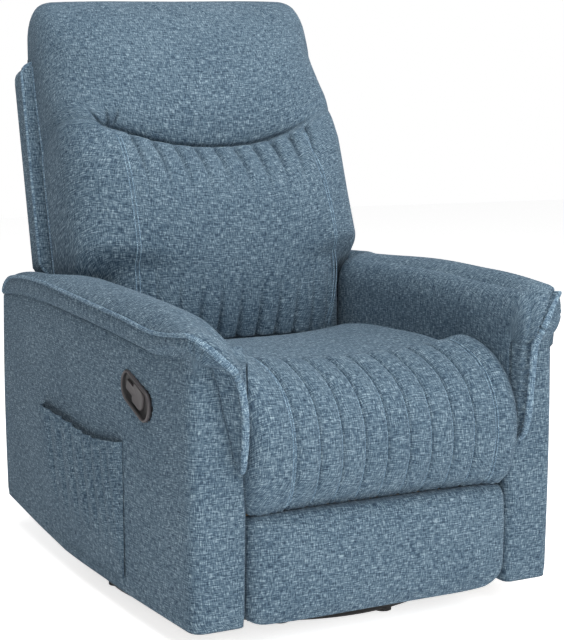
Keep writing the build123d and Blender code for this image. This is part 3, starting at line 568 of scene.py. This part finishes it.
# Arm pads: a padded saddle along each arm top that turns over the front edge and runs down to a tip beside the
# seat. Its outer edge is a boxed strip with a corded seam, and the front is gathered into that seam.
PAD_SHORT = 26
PAD_NOSE = 60
PAD_IN = 239
PAD_STEP = 68
PAD_SKIRT = 82
SKIRT_CUT = 60
STRIP_PUFF = 2.5
STRIP_TUCK = 7
SEAM_OUT = 7
FOOT_OUT = 6
PAD_SEAM = ((-380, 499), (-330, 493), (-267, 489), (-161, 498), (-55, 505), (89, 513), (249, 519), (400, 511),
            (510, 490))
PAD_CROWN = ((-380, 508), (-289, 518), (-161, 525), (-55, 529), (89, 531), (249, 530), (400, 519), (510, 494))
PAD_PLUMP = {1: (4, 7), -1: (0, 0)}
FRONT_SEAM = 338
FRONT_FOOT = 340
FRONT_RISE = 49
FRONT_CROWN = 9
SEAM_TURN = {1: 81, -1: 58}
FOOT_TURN = 35
LOBE_STEP = 4
PAD_FALL = {1: (4, 0.4), -1: (28, 0.85)}
LOBE_CROWN = {1: 11, -1: 6}
ROLL_DEPTH = {1: 1.9, -1: 1}
LOBE_TOP = 449
LOBE_TIP = 289
LOBE_DEEP = 40
LOBE_SEAM_X = {1: ((288, 252), (307, 253), (337, 253), (399, 254), (449, 257)),
               -1: ((288, 253), (307, 257), (337, 258), (399, 263), (425, 269), (449, 280))}
LOBE_FOOT_X = ((288, 258), (292, 260), (332, 273), (386, 288), (424, 297), (449, 305))
LOBE_IN_X = ((288, 249), (305, 245), (340, 243), (449, 243))
LOBE_DEPTH = ((288, 8), (298, 20), (320, 29), (360, 35), (449, LOBE_DEEP))
GATHERS = 40
GATHER_GAP = (8, 13)
GATHER_LENGTH = (11, 22)
GATHER_SINK = (2.4, 4.6)
GATHER_DEPTH = {1: 1.6, -1: 1}
GROOVE_SINK = 3.4
TUCKS = (16, 36, 52, 70)
TUCK_SINK = 4.5
CORD_RADIUS = 3.4
WELT_RADIUS = 6


def station_normals(points):
    """Unit normals of a grid of points, from the cross product of its two directions, pointing away from its middle
    line."""
    normal = np.cross(np.gradient(points, axis=0), np.gradient(points, axis=1))
    normal /= np.maximum(np.linalg.norm(normal, axis=2, keepdims=True), 1e-9)
    away = points - points.mean(axis=1, keepdims=True)
    return normal * np.sign(np.sum(normal * away))


def pad_rings(side):
    """Rings across the pad from rear to tip: up the boxed strip, over the crown, down the inner side, back below.
    The ring's own up direction turns from upward to forward at the front edge, and from there the crown falls away
    from the seam to the inner side."""
    rear = ARM_REAR - PAD_SHORT
    round_end = rear - PAD_NOSE * (1 - np.cos(np.linspace(0, np.pi / 2, 24)))
    run = np.concatenate((round_end, np.linspace(rear - PAD_NOSE - 6, ARM_FRONT, 130)))
    nose = np.sqrt(np.clip(1 - (np.clip(run - (rear - PAD_NOSE), 0, PAD_NOSE) / PAD_NOSE) ** 2, 0.002, 1))
    bend = np.radians(np.linspace(0, 90, 65)[1:])
    fall = np.linspace(LOBE_TOP, LOBE_TIP, 121)[1:]
    count = (len(run), len(bend), len(fall))
    lean = np.concatenate((np.zeros(count[0]), bend, np.full(count[2], np.pi / 2)))
    base = through(PAD_BASE, run)
    y = np.concatenate((run, np.full(count[1] + count[2], ARM_FRONT)))
    z = np.concatenate((base, np.full(count[1], LOBE_TOP), fall))
    turned = bend / (np.pi / 2)
    turned_in = 1 - (1 - turned) ** 1.7 if side > 0 else turned**1.35
    seam_turn = FRONT_SEAM - SEAM_TURN[side] * turned_in
    seam_x = np.concatenate((arm_side(run) + SEAM_OUT, seam_turn, through(LOBE_SEAM_X[side], fall)))
    foot_run = arm_side(run) + FOOT_OUT + 3 * step_up(-run, 200, 330)
    foot_x = np.concatenate((foot_run, FRONT_FOOT - FOOT_TURN * turned**1.2, through(LOBE_FOOT_X, fall)))
    beside_back = step_up(run, ARM_STEP - 12, ARM_STEP + 48)
    in_x = np.concatenate((PAD_IN + PAD_STEP * beside_back, PAD_IN + LOBE_STEP * turned, through(LOBE_IN_X, fall)))
    low, more = PAD_PLUMP[side]
    plump = low + more * step_up(-run, -250, 100)
    lift = pad_lift(run, side)
    fading = 1 - turned**1.5 if side > 0 else (1 - turned) ** 1.5
    foot_h = np.concatenate(((arm_top(run, side) - base) * nose, (ARM_FRONT_RISE + lift[-1]) * fading,
                             np.zeros(count[2])))
    rise_side = (through(PAD_SEAM, run) - base + lift) * nose
    rise_top = (through(PAD_CROWN, run) - through(PAD_SEAM, run) + plump) * nose
    front_rise, front_crown = FRONT_RISE + lift[-1], FRONT_CROWN + plump[-1]
    deep = through(LOBE_DEPTH, fall)
    bent = front_rise - (front_rise - LOBE_DEEP) * turned
    edge = np.concatenate((rise_side, bent, deep))
    crown = np.concatenate((rise_top, front_crown + (LOBE_CROWN[side] - front_crown) * turned,
                            LOBE_CROWN[side] * deep / LOBE_DEEP))
    sink, share = PAD_FALL[side]
    away = np.concatenate((sink * step_up(-run, 225, 374), sink + (share * bent - sink) * step_up(turned, 0, 1),
                           share * deep))
    skirt = np.concatenate((-PAD_SKIRT + SKIRT_CUT * beside_back, -PAD_SKIRT * (1 - turned), np.zeros(count[2])))
    wide = seam_x - in_x
    inner = np.minimum(30, wide * 0.3)
    rise = np.linspace(0, 1, 13)[None]
    cross = np.linspace(0, 1, 44)[None, 1:]
    roll = np.radians(np.linspace(0, 90, 10))[None, 1:]
    drop = np.linspace(0, 1, 9)[None, 1:]
    back = np.linspace(0, 1, 9)[None, 1:-1]

    def col(value):
        return value[:, None]

    tuck = STRIP_TUCK * np.clip(1 - rise * 4, 0, 1) ** 2
    strip_x = col(foot_x) + col(seam_x - foot_x) * rise + STRIP_PUFF * np.sin(np.pi * rise) - tuck
    strip_h = col(foot_h) + col(edge - foot_h) * rise
    top_x = col(seam_x) - col(wide - inner) * cross
    arch = np.sin(np.pi * np.clip(cross * 0.86, 0, 1)) ** 0.7
    top_h = col(edge) + col(crown) * arch - col(away) * cross**1.3
    shoulder = top_h[:, -1:]
    turn_in = np.minimum(ROLL_DEPTH[side] * col(inner), np.maximum(shoulder, 0.5))
    roll_x = col(in_x) + col(inner) * (1 - np.sin(roll))
    roll_h = shoulder - turn_in * (1 - np.cos(roll))
    low_h = shoulder - turn_in
    side_x = col(in_x) + 0 * drop
    side_h = low_h + (np.minimum(col(skirt), low_h) - low_h) * drop
    back_x = col(in_x) + col(foot_x - in_x) * back
    back_h = col(np.minimum(skirt, 0)) * (1 - back)
    x = np.concatenate((strip_x, top_x, roll_x, side_x, back_x), axis=1)
    h = np.concatenate((strip_h, top_h, roll_h, side_h, back_h), axis=1)
    points = np.stack((x * side, col(y) - np.sin(col(lean)) * h, col(z) + np.cos(col(lean)) * h), axis=2)
    return points, rise.shape[1] - 1, count


def gathers(points, seam, count, seed):
    """Small folds square to the corded seam round the front: sharp valleys a finger's width apart, deepest beside the
    seam, on the crown, and four wide tucks in the boxed strip under the bend."""
    draw = np.random.default_rng(seed)
    along = walked(points[:, seam])
    across = np.linalg.norm(points - points[:, seam, None], axis=2)
    start = along[count[0] - 8]
    spots = np.cumsum(draw.uniform(*GATHER_GAP, GATHERS)) + start
    length = draw.uniform(*GATHER_LENGTH, GATHERS)
    depth = draw.uniform(*GATHER_SINK, GATHERS)
    strength = step_up(along, start, start + 50) * (1 - step_up(along, along[-1] - 25, along[-1]))
    valley = crease(along[:, None, None] - spots, 2.2) * depth * crease(across[:, :, None], length)
    beyond = np.arange(points.shape[1])[None] > seam
    crown_folds = -valley.sum(axis=2) * strength[:, None] * beyond * step_up(across, 0, 3)
    tucks = np.array(TUCKS) + start
    strip = hump(along[:, None, None] - tucks - 0.6 * across[:, :, None], 3.6).sum(axis=2)
    middle = np.sin(np.pi * np.clip(np.arange(points.shape[1]) / seam, 0, 1))[None]
    groove = GROOVE_SINK * hump(across - 8, 3.5) * strength[:, None] * beyond
    return crown_folds - groove - TUCK_SINK * strip * middle * ~beyond


def sewn_tube(name, path, radius, sides, material, body, loop=False):
    """Cord or thread along a path, sewn to the fabric of a body."""
    finish_piece(tube_along(name, path, radius, sides, loop), material, body, "upholstery")


# Cord weave: the cover weave made 1.45 times lighter, a painted highlight where the cords catch the light.
highlit_piping = slub_weave("slate_piping_painted_highlight", 1.45)
for side, hand in ((1, "right"), (-1, "left")):
    rings, seam, count = pad_rings(side)
    rings = rings + station_normals(rings) * gathers(rings, seam, count, 11 + side)[:, :, None] * GATHER_DEPTH[side]
    pad = grid_piece(f"{hand}_arm_pad_fabric", rings, wrap=True, caps=True, zero=seam)
    finish_piece(pad, weave, "chair", "upholstery", f"{hand}_arm_pad")
    welt = step_up(np.arange(len(rings)), count[0] - 10, count[0] + 45)[:, None]
    lift = CORD_RADIUS * 0.4 + (WELT_RADIUS - CORD_RADIUS) * 0.6 * welt
    path = rings[:, seam] + station_normals(rings)[:, seam] * lift
    tip = step_up(np.arange(len(rings)), len(rings) - 36, len(rings))[:, None]
    along = walked(path)[:, None]
    twist = 0.25 * welt * np.sin(2 * np.pi * along / 7.5)
    thick = CORD_RADIUS + (WELT_RADIUS - CORD_RADIUS) * welt * (1 - 0.5 * tip) + twist
    sewn_tube(f"{hand}_arm_cord", path[2:-1], thick[2:-1, None], 12, highlit_piping, "chair")

# Seat cushion: a deep crowned cushion with a plain top. A cross seam near the front edge starts nine sewn
# channels that run over the waterfall front and down to the footrest.
SEAT_HALF = 239
SEAT_RIM = 26
SEAT_DISH = 18
FRONT_DISH = 10
FRONT_BOW = 11
SEAT_SWELL = 7
STITCH_RADIUS = 1.2
SEAT_SEAM = 0.50
CHANNEL_PITCH = 40.5
CHANNEL_FIRST = -170
CHANNELS = 9
CHANNEL_LAST = CHANNEL_FIRST + CHANNEL_PITCH * CHANNELS
CHANNEL_PUFF = 9
OUTER_PUFF = 6
SEAM_SINK = 6
SEAM_RIDGE = 4
HEM_RIPPLE = 1.2
HEM_PITCH = 13
SEAT_CREST = ((0, 135, 404), (0.12, 60, 414), (0.26, -40, 418), (0.40, -140, 419), (0.50, -216, 415),
              (0.56, -262, 417), (0.62, -306, 413), (0.68, -346, 400), (0.74, -375, 379), (0.80, -390, 350),
              (0.86, -395, 312), (0.92, -389, 268), (0.97, -377, 230), (1.0, -360, 214))
SEAT_FOOT = ((0, 130, 291), (0.45, -170, 291), (0.6, -270, 291), (0.7, -322, 288), (0.8, -327, 270), (1.0, -327, 228))
CLIMB_STEPS = 9
BEND_STEPS = 8
FRONT_COLUMN = CLIMB_STEPS + BEND_STEPS
SWELL_STEP = 4
SWELL_FRAMES = 20
SWELL_PRESSURE = 4


def side_line(knots, t):
    """Places in the side plane of a smooth line through knots of a share and two measures."""
    return np.stack([through([(k[0], k[i]) for k in knots], t) for i in (1, 2)], axis=1)


def cushion_rings(crest, foot, half, rim, spread, climb_steps=CLIMB_STEPS):
    """Rings of a boxed cushion, one a station: up the right side from the foot, round the rim, across the front at the
    given shares of its flat, round the other rim, down the left side and back across the foot. crest(share) gives the
    front's place in the side plane at each station. Returns x and the side-plane places."""
    half, rim = half[:, None], rim[:, None]
    climb = np.linspace(0, 1, climb_steps, endpoint=False)[None]
    bend = np.radians(np.linspace(0, 90, BEND_STEPS))[None]
    back = np.linspace(-1, 1, 11)[None, 1:-1]
    upright = half * np.ones_like(climb)
    corner = half - rim * (1 - np.cos(bend))
    sunk = rim * (1 - np.sin(bend))
    flat = spread[None] * (half - rim)
    x = np.concatenate((upright, corner, flat, -corner[:, ::-1], -upright, half * back), axis=1)
    under = np.concatenate((0 * upright, sunk, 0 * flat, sunk[:, ::-1], 0 * upright, 0 * half * back), axis=1)
    front = crest(x / half)
    reach = front - foot[:, None]
    depth = np.linalg.norm(reach, axis=2)
    level = np.concatenate((climb, 1 + 0 * bend, 1 + 0 * spread[None], 1 + 0 * bend, climb[:, ::-1], 0 * back), axis=1)
    height = np.where(level < 1, level * (depth - rim), depth - under)
    return x, foot[:, None] + reach / depth[:, :, None] * height[:, :, None]


def channel_spread(flat):
    """Shares of the flat front from right to left: close steps beside each channel line, wider on the crests."""
    part = np.array((0, 0.025, 0.05, 0.09, 0.15, 0.24, 0.36, 0.5, 0.64, 0.76, 0.85, 0.91, 0.95, 0.975))
    lines = CHANNEL_FIRST + CHANNEL_PITCH * np.arange(CHANNELS)
    inside = (lines[:, None] + CHANNEL_PITCH * part[None]).ravel()
    ends = np.concatenate((np.linspace(-flat, CHANNEL_FIRST - 1, 26), inside, np.linspace(CHANNEL_LAST, flat, 20)))
    return np.sort(ends)[::-1][1:-1] / flat


def channel_roll(x):
    """Channel section: a flat arch between sewn lines with a narrow groove on each, 1 on the crests, 0 outside them."""
    place = (x - CHANNEL_FIRST) / CHANNEL_PITCH
    part = place - np.floor(place)
    away = np.abs(2 * part - 1)
    inside = (place > 0) & (place < CHANNELS)
    return np.where(inside, 0.4 * (1 - away**2.5) + 0.6 * (1 - away**8), 0)


def sewn_line(points, x_line, rows, first, last):
    """Line over a cushion's front where x has the given value on each of the rows: between the two columns on either
    side of it, by their share."""
    front = points[rows, first:last]
    line = np.broadcast_to(x_line, (len(front),))[:, None]
    at = np.argmax(front[:, :, 0] <= line, axis=1)[:, None, None]
    after = np.take_along_axis(front, at, axis=1)[:, 0]
    before = np.take_along_axis(front, at - 1, axis=1)[:, 0]
    f = (before[:, :1] - line) / (before[:, :1] - after[:, :1])
    return before + (after - before) * f


def swell(points, held, most):
    """How far each point of a closed grid moves when its cover is blown up as cloth: air pressure inside, no weight,
    the held places pinned, on every fourth row and column. The longest move is brought down to the length given, and
    the rows and columns between take their share of their neighbours' moves."""
    rows = np.append(np.arange(0, len(points) - 1, SWELL_STEP), len(points) - 1)
    cols = np.arange(0, points.shape[1], SWELL_STEP)
    start = points[rows][:, cols]
    bag = grid_piece("swelling", start, wrap=True, caps=True)
    pinned = held[rows][:, cols]
    pinned[[0, -1]] = True
    bag.vertex_groups.new(name="held").add(np.flatnonzero(pinned).tolist(), 1.0, "REPLACE")
    cloth = bag.modifiers.new("cloth", "CLOTH")
    cloth.settings.use_pressure = True
    cloth.settings.uniform_pressure_force = SWELL_PRESSURE
    cloth.settings.vertex_group_mass = "held"
    cloth.settings.effector_weights.gravity = 0
    cloth.point_cache.frame_end = SWELL_FRAMES
    for step in range(1, SWELL_FRAMES + 1):
        scene.frame_set(step)
    blown = bag.evaluated_get(bpy.context.evaluated_depsgraph_get()).data
    place = np.empty(start.size)
    blown.vertices.foreach_get("co", place)
    move = place.reshape(start.shape) / MM - start
    move *= most / max(np.linalg.norm(move, axis=2).max(), most)
    bpy.data.objects.remove(bag)
    scene.frame_set(1)
    col = np.arange(points.shape[1]) / SWELL_STEP
    left = col.astype(int)
    wide = move[:, left] + (move[:, (left + 1) % len(cols)] - move[:, left]) * (col % 1)[None, :, None]
    row = np.interp(np.arange(len(points)), rows, np.arange(len(rows)))
    above = row.astype(int)
    below = np.minimum(above + 1, len(rows) - 1)
    return wide[above] + (wide[below] - wide[above]) * (row % 1)[:, None, None]


def seat_points():
    """Seat rings, a little dished, with the channels puffed out and the cross seam drawn in along the normals."""
    t = np.concatenate((np.linspace(0, 0.46, 44), np.linspace(0.463, 0.56, 44), np.linspace(0.565, 1, 110)))
    crest_line = side_line(SEAT_CREST, t)
    foot = np.stack([np.interp(t, [k[0] for k in SEAT_FOOT], [k[i] for k in SEAT_FOOT]) for i in (1, 2)], axis=1)
    front = step_up(t, 0.62, 0.82)[:, None]
    dish = SEAT_DISH + FRONT_DISH * step_up(t, 0.50, 0.56)[:, None]

    def crest(share):
        away = np.abs(share) ** 3
        return crest_line[:, None] + np.stack((-FRONT_BOW * front * away, dish * (1 - front) * away), axis=2)

    half = np.full(len(t), SEAT_HALF)
    rim = np.full(len(t), SEAT_RIM)
    spread = channel_spread(SEAT_HALF - SEAT_RIM)
    x, side = cushion_rings(crest, foot, half, rim, spread)
    points = np.concatenate((x[:, :, None], side), axis=2)
    length = walked(crest_line)
    past = (length - np.interp(SEAT_SEAM, t, length))[:, None]
    shown = np.linalg.norm(side - foot[:, None], axis=2) > 30
    points += swell(points, ~shown | (np.abs(past) < 6), SEAT_SWELL)
    hem = step_up(t, 0.9, 1)[:, None]
    puff = CHANNEL_PUFF * channel_roll(x) * step_up(past, 4, 60) * (1 - 0.85 * hem)
    puff += SEAM_RIDGE * (step_up(past, 0, 18) - step_up(past, 40, 110))
    off_line = np.minimum(np.abs(x - CHANNEL_FIRST), np.abs(x - CHANNEL_LAST))
    outer = np.where((x < CHANNEL_FIRST) | (x > CHANNEL_LAST), OUTER_PUFF, 0) * step_up(off_line, 0, 14)
    puff += outer * step_up(past, -10, 50) * (1 - 0.5 * hem)
    puff -= SEAM_SINK * crease(past, 4)
    puff += HEM_RIPPLE * np.sin(2 * np.pi * x / HEM_PITCH) * step_up(t, 0.965, 0.99)[:, None]
    return points + station_normals(points) * (puff * shown)[:, :, None], spread, past[:, 0]


surface, spread, past = seat_points()
seat = grid_piece("seat_fabric", surface, wrap=True, caps=True, zero=FRONT_COLUMN + len(spread) // 2)
finish_piece(seat, weave, "chair", "upholstery", "seat_cushion")
# Topstitch thread: the cover weave made 1.7 times lighter, partly a paler thread and partly a painted highlight on the
# stitched lines.
thread = slub_weave("slate_thread_partly_painted_highlight", 1.7)
channel_lines = CHANNEL_FIRST + CHANNEL_PITCH * np.arange(CHANNELS + 1) - 1.4
for i, line in enumerate((*channel_lines, CHANNEL_FIRST - 7.4, channel_lines[-1] + 6)):
    path = sewn_line(surface, line, np.flatnonzero(past > 6)[:-4], FRONT_COLUMN, FRONT_COLUMN + len(spread))
    sewn_tube(f"seat_topstitch_{i + 1}", path, STITCH_RADIUS, 6, thread, "chair")
cross = surface[np.argmin(np.abs(past)), FRONT_COLUMN:FRONT_COLUMN + len(spread)]
sewn_tube("seat_cross_stitch", cross[np.abs(cross[:, 0] - 10) < 184], STITCH_RADIUS, 6, thread, "chair")

# Footrest: a foam pad in the same fabric on a plywood board, plain, and thinner at its rounded edges. Two steel
# brackets carry it on the links, and when it is shut it fills the gap below the seat.
FOOT_HALF = 238
FOOT_BACK = -345.5
FOOT_CORNER = 46
FOOT_RIM = 20
FOOT_SWELL = 5
FOOT_COLUMNS = 80
FOOT_CREST = ((0, -356, 212), (0.06, -374, 213), (0.16, -388, 204), (0.34, -394, 170), (0.55, -395, 125),
              (0.74, -393, 86), (0.88, -387, 52), (0.95, -376, 37.5), (1.0, -358, 35.5))


def footrest_points():
    """Footrest rings from top edge to lower edge, the flat drawn in toward the sides."""
    t = np.linspace(0, 1, 80)
    crest_line = side_line(FOOT_CREST, t)
    foot = np.stack((np.full(len(t), FOOT_BACK), np.interp(t, (0, 0.2, 0.8, 1), (207, 187, 62, 39))), axis=1)

    def crest(share):
        away = np.abs(share)[:, :, None] ** 6
        return crest_line[:, None] + away * (foot - crest_line)[:, None] * 0.25

    near_end = np.clip(FOOT_CORNER - (crest_line[:, 1] - crest_line[:, 1].min()), 0, FOOT_CORNER)
    half = FOOT_HALF - 6 * (1 - t) ** 8 - 0.8 * (FOOT_CORNER - np.sqrt(FOOT_CORNER**2 - near_end**2))
    rim = np.full(len(t), FOOT_RIM)
    x, side = cushion_rings(crest, foot, half, rim, np.linspace(1, -1, FOOT_COLUMNS + 2)[1:-1])
    x = np.where(x < 0, x * (1 + 0.7 * (FOOT_HALF / half[:, None] - 1)), x)
    points = np.concatenate((x[:, :, None], side), axis=2)
    return points + swell(points, np.linalg.norm(side - foot[:, None], axis=2) < 26, FOOT_SWELL)


middle = FRONT_COLUMN + FOOT_COLUMNS // 2
footrest = grid_piece("footrest_fabric", footrest_points(), wrap=True, caps=True, zero=middle)
finish_piece(footrest, weave, "footrest", "upholstery", "footrest_pad")

# Back shell: the rear and edges of the back frame, fabric over wadding, stapled to the stiles and rails. A plain
# panel with soft corners and sloped shoulders, and a cord sewn round its front edge.
BACK_LEAN = np.radians(13.5)
BACK_Y = 365
BACK_Z = 290
SHELL_HALF = 296
SHELL_WIDER = 17
SHELL_TOP = 640
SHELL_SHOULDER = 620
SHELL_SLOPE = 52
SHELL_DEPTH = 62
SHELL_CORD = 58


def leaned(x, n, s):
    """From the upright back's own axes, forward n and up s, to the leaned place in the chair."""
    y = BACK_Y - n * np.cos(BACK_LEAN) + s * np.sin(BACK_LEAN)
    z = BACK_Z + n * np.sin(BACK_LEAN) + s * np.cos(BACK_LEAN)
    return np.stack(np.broadcast_arrays(x, y, z), axis=-1)


def shell_rings():
    """Rings of the shell's front outline from its middle out over the rear face, round the edge and into the front.
    Above the arms the outline is a little wider. The chart lays the rings out flat, the edge beyond the rear face."""
    corners = ((-SHELL_HALF, 2), (SHELL_HALF, 2), (SHELL_HALF, SHELL_SHOULDER), (SHELL_HALF - SHELL_SLOPE, SHELL_TOP),
               (SHELL_SLOPE - SHELL_HALF, SHELL_TOP), (-SHELL_HALF, SHELL_SHOULDER))
    outline = rounded_outline(corners, (12, 12, 18, 20, 20, 18), 300)
    outline[:, 0] *= 1 + SHELL_WIDER / SHELL_HALF * step_up(outline[:, 1], 214, 240)
    centre = np.array((0, SHELL_TOP / 2))
    face = np.linspace(0.0005, 0.9, 24)
    inset = np.concatenate((face, (0.94, 0.965, 0.98, 0.99, 0.996), np.ones(7), (0.996, 0.985, 0.97, 0.94, 0.9)))
    depth = np.concatenate((-3 * np.cos(face * np.pi / 2), (0.5, 1.5, 3, 5, 8, 13, 20, 28, 36, 44, 51, 57, 60.5),
                            np.full(4, SHELL_DEPTH)))
    ring = centre + (outline - centre)[None] * inset[:, None, None]
    chart = centre + (outline - centre)[None] * (inset + np.maximum(depth, 0) / 320)[:, None, None]
    return leaned(ring[:, :, 0], depth[:, None], ring[:, :, 1]), outline, chart


rings, shell_outline, chart = shell_rings()
shell = grid_piece("back_shell_fabric", rings, wrap=True, chart=chart)
finish_piece(shell, weave, "back", "upholstery", "back_shell")
cord_path = leaned(shell_outline[:, 0], SHELL_CORD, shell_outline[:, 1])
sewn_tube("back_shell_cord", cord_path, CORD_RADIUS, 10, highlit_piping, "back", loop=True)

# Back cushion: one puffy panel from the seat to over the top of the shell. A cross seam that dips in the middle parts
# a plain head roll from the lower panel, which has channels that start at the seam and show again at the seat.
BACK_HALF = 291
BACK_LOW = 60
BACK_SWELL = 7
BACK_CLIMB = 12
BACK_COLUMN = BACK_CLIMB + BEND_STEPS
RIM_CORD = 2.6
LUMBAR_MID = ((0, 250), (0.1, 276), (0.25, 295), (0.45, 304), (0.62, 303), (0.76, 295), (0.86, 280), (0.93, 260),
              (0.97, 243), (0.99, 233), (1, 213))
LUMBAR_SIDE = ((0, 205), (0.2, 225), (0.42, 228), (0.67, 216), (0.85, 206), (0.93, 200), (0.98, 192), (1, 178))
HEAD_MID = ((0, 213, 0), (0.02, 224, 0.012), (0.05, 232, 0.04), (0.12, 239, 0.13), (0.24, 233, 0.29),
            (0.38, 218, 0.47), (0.54, 188, 0.67), (0.70, 140, 0.87), (0.80, 92, 0.985), (0.87, 58, 1.0),
            (0.93, 38, 0.94), (1.0, 34, 0.69))
HEAD_SIDE = ((0, 178, 0), (0.03, 186, 0.03), (0.12, 172, 0.13), (0.24, 147, 0.30), (0.38, 124, 0.48),
             (0.54, 114, 0.68), (0.70, 102, 0.86), (0.80, 84, 0.96), (0.87, 62, 1.0), (0.93, 46, 0.95),
             (1.0, 40, 0.73))
SMILE = ((-292, 490), (-251, 484), (-210, 470), (-112, 438), (0, 427), (112, 440), (180, 464), (230, 490), (292, 514))
HEAD_TOP = 754
HEAD_SLOPE = 10
HEAD_CORNER = 48
HIGH_ROLLS = (13, 5, 84)
LOW_ROLLS = (14, 78)
LEFT_FOLDS = ((-221, -0.7), (-209, -0.1), (-200, 0.4))
RIGHT_FOLDS = (-16, 2, 18)
TOP_FOLDS = (-195, -91, -10, 134)
LEFT_SINK = 9
RIGHT_SINK = 3.4
PLEAT_SINK = 2.2
TOP_SINK = 6
RIGHT_SEAM = ((60, 190), (80, 195), (137, 208), (231, 206), (325, 195), (418, 180), (470, 172))


def smile(x):
    """Height of the cross seam: low in the middle, rising to the sides and nearly level beyond the channels."""
    return through(SMILE, np.clip(x, -292, 292))


def puckers(x, s):
    """Small folds along the cross seam: three deep valleys that fan up from its left end, three long shallow ones at
    its right end, and a row of fine gathers just above it."""
    left = sum(hump(x - at - lean * (s - 470), 2.4) for at, lean in LEFT_FOLDS)
    right = sum(hump(s - 496 - 0.4 * (x - 225) - at, 5) for at in RIGHT_FOLDS)
    above = s - smile(x)
    pleats = np.cos(np.pi * (x + 6 * np.sin(x / 23)) / 10) ** 12
    fine = pleats * crease(above, 9) * (above > 0) * (np.abs(x) < 215)
    ends = LEFT_SINK * left * hump(s - 482, 13) + RIGHT_SINK * right * hump(x - 222, 32)
    return ends + PLEAT_SINK * fine


def top_folds(x, s):
    """Short folds that lean to the right as they come down from the top edge of the head roll."""
    return TOP_SINK * sum(hump(x - at - 1.1 * (752 - s), 4) for at in TOP_FOLDS) * hump(s - 714, 18)


def back_points():
    """Back rings from the seat up to the seam, over the head roll and down behind, with channels and folds drawn in."""
    low = np.concatenate((np.linspace(0, 0.72, 60), np.linspace(0.73, 0.955, 36), np.linspace(0.96, 1, 14)))
    high = np.concatenate((np.linspace(0.003, 0.06, 16), np.linspace(0.066, 0.2, 24), np.linspace(0.21, 1, 64)))
    upper = np.concatenate((np.zeros(len(low), dtype=bool), np.ones(len(high), dtype=bool)))
    t = np.concatenate((low, high))
    n_mid, up_mid = side_line(HEAD_MID, t).T
    n_side, up_side = side_line(HEAD_SIDE, t).T
    n_mid = np.where(upper, n_mid, through(LUMBAR_MID, t))
    n_side = np.where(upper, n_side, through(LUMBAR_SIDE, t))
    power = np.where(upper, 4.5 - 1.5 * (1 - t), 3.0)[:, None]

    def crest(share):
        away = np.clip(np.abs(share), 0, 1)
        seam = smile(share * BACK_HALF)
        n = n_mid[:, None] + (n_side - n_mid)[:, None] * away**power
        s_low = BACK_LOW + (seam - BACK_LOW) * t[:, None]
        past_corner = np.clip(away * BACK_HALF - (BACK_HALF - HEAD_CORNER), 0, HEAD_CORNER)
        top = HEAD_TOP + HEAD_SLOPE * share - (HEAD_CORNER - np.sqrt(HEAD_CORNER**2 - past_corner**2)) * 0.8
        s_high = seam + (top - seam) * (up_mid[:, None] + (up_side - up_mid)[:, None] * away**4)
        s = np.where(upper[:, None], s_high, s_low)
        below, above = np.searchsorted(low, 0.87), len(low) + np.searchsorted(high, 0.12)
        part = np.clip((s - s[below]) / (s[above] - s[below]), 0, 1)
        level = n[below] + (n[above] - n[below]) * part
        ends = np.maximum(step_up(share * BACK_HALF, 110, 226), step_up(-share * BACK_HALF, 208, 240))
        n = np.where((part > 0) & (part < 1), n + ends * (level - 3 * crease(s - seam, 5) - n), n)
        return np.stack((n, s), axis=2)

    foot_s = np.where(upper, np.interp(t, (0, 0.6, 1), (450, 610, 640)),
                      np.interp(t, (0, 0.3, 0.45, 0.6, 0.8, 1), (20, 84, 126, 262, 382, 445)))
    foot = np.stack((np.where(upper, np.interp(t, (0, 0.7, 1), (62, 58, 36)), 62), foot_s), axis=1)
    nip = 2 * np.where(upper, hump(t * 270, 15), hump((1 - t) * 420, 15))
    half = np.where(upper, BACK_HALF, 237 + 55 * step_up(BACK_LOW + 400 * t, 186, 236)) - nip
    rim = np.where(upper, 34 - 10 * t, np.interp(t, (0, 0.5, 1), (26, 36, 34)))
    spread = np.linspace(1, -1, 332)[1:-1]
    x, side = cushion_rings(crest, foot, half, rim, spread, BACK_CLIMB)
    points = leaned(x, side[:, :, 0], side[:, :, 1])
    flat = np.linalg.norm(side - foot[:, None], axis=2) > 40
    under = np.where(upper[:, None], 1e3, (smile(x) - BACK_LOW) * (1 - t)[:, None])
    low_deep, low_long = LOW_ROLLS
    low_rolls = np.where(upper[:, None], 0, low_deep * hump(t[:, None] * 400, low_long))
    points += swell(points, ~flat | (under < 8) | (upper & (t < 0.03))[:, None], BACK_SWELL)
    place = (x - CHANNEL_FIRST) / CHANNEL_PITCH
    valley = np.abs(2 * (place - np.floor(place)) - 1) ** 5 * (np.abs(x - 12) < 190)
    deep, more_right, long = HIGH_ROLLS
    high_rolls = (deep + more_right * step_up(x, 0, 120)) * hump(under, long) * step_up(under, 0, 8)
    puff = -valley * (high_rolls + low_rolls)
    puff -= puckers(x, side[:, :, 1]) + top_folds(x, side[:, :, 1]) * upper[:, None]
    return points + station_normals(points) * (puff * flat)[:, :, None], side[:, :, 1], upper, spread


surface, up, upper, spread = back_points()
beyond = BACK_COLUMN + len(spread)
middle = BACK_COLUMN + len(spread) // 2
back = grid_piece("back_cushion_fabric", surface, wrap=True, caps=True, zero=middle)
finish_piece(back, weave, "back", "upholstery", "lumbar_cushion", "right_back_bolster", "left_back_bolster",
             "head_pillow")
sewn = np.flatnonzero(~upper & (up[:, middle] > 66) & (up[:, middle] < 412))
right_line = through(RIGHT_SEAM, up[sewn, middle])
side_seams = (("left_outer", -202), ("left_inner", -196), ("right_inner", right_line), ("right_outer", right_line + 6))
for name, line in side_seams:
    path = sewn_line(surface, line, sewn, BACK_COLUMN, beyond)
    sewn_tube(f"back_{name}_topstitch", path, STITCH_RADIUS, 6, thread, "back")
rim_rows = np.flatnonzero((up[:, middle] > 250) & (np.arange(len(up)) < len(up) - 24))
for hand, column in (("right", 1), ("left", beyond + BACK_COLUMN - 2)):
    sewn_tube(f"back_{hand}_rim_cord", surface[rim_rows, column], RIM_CORD, 8, highlit_piping, "back")
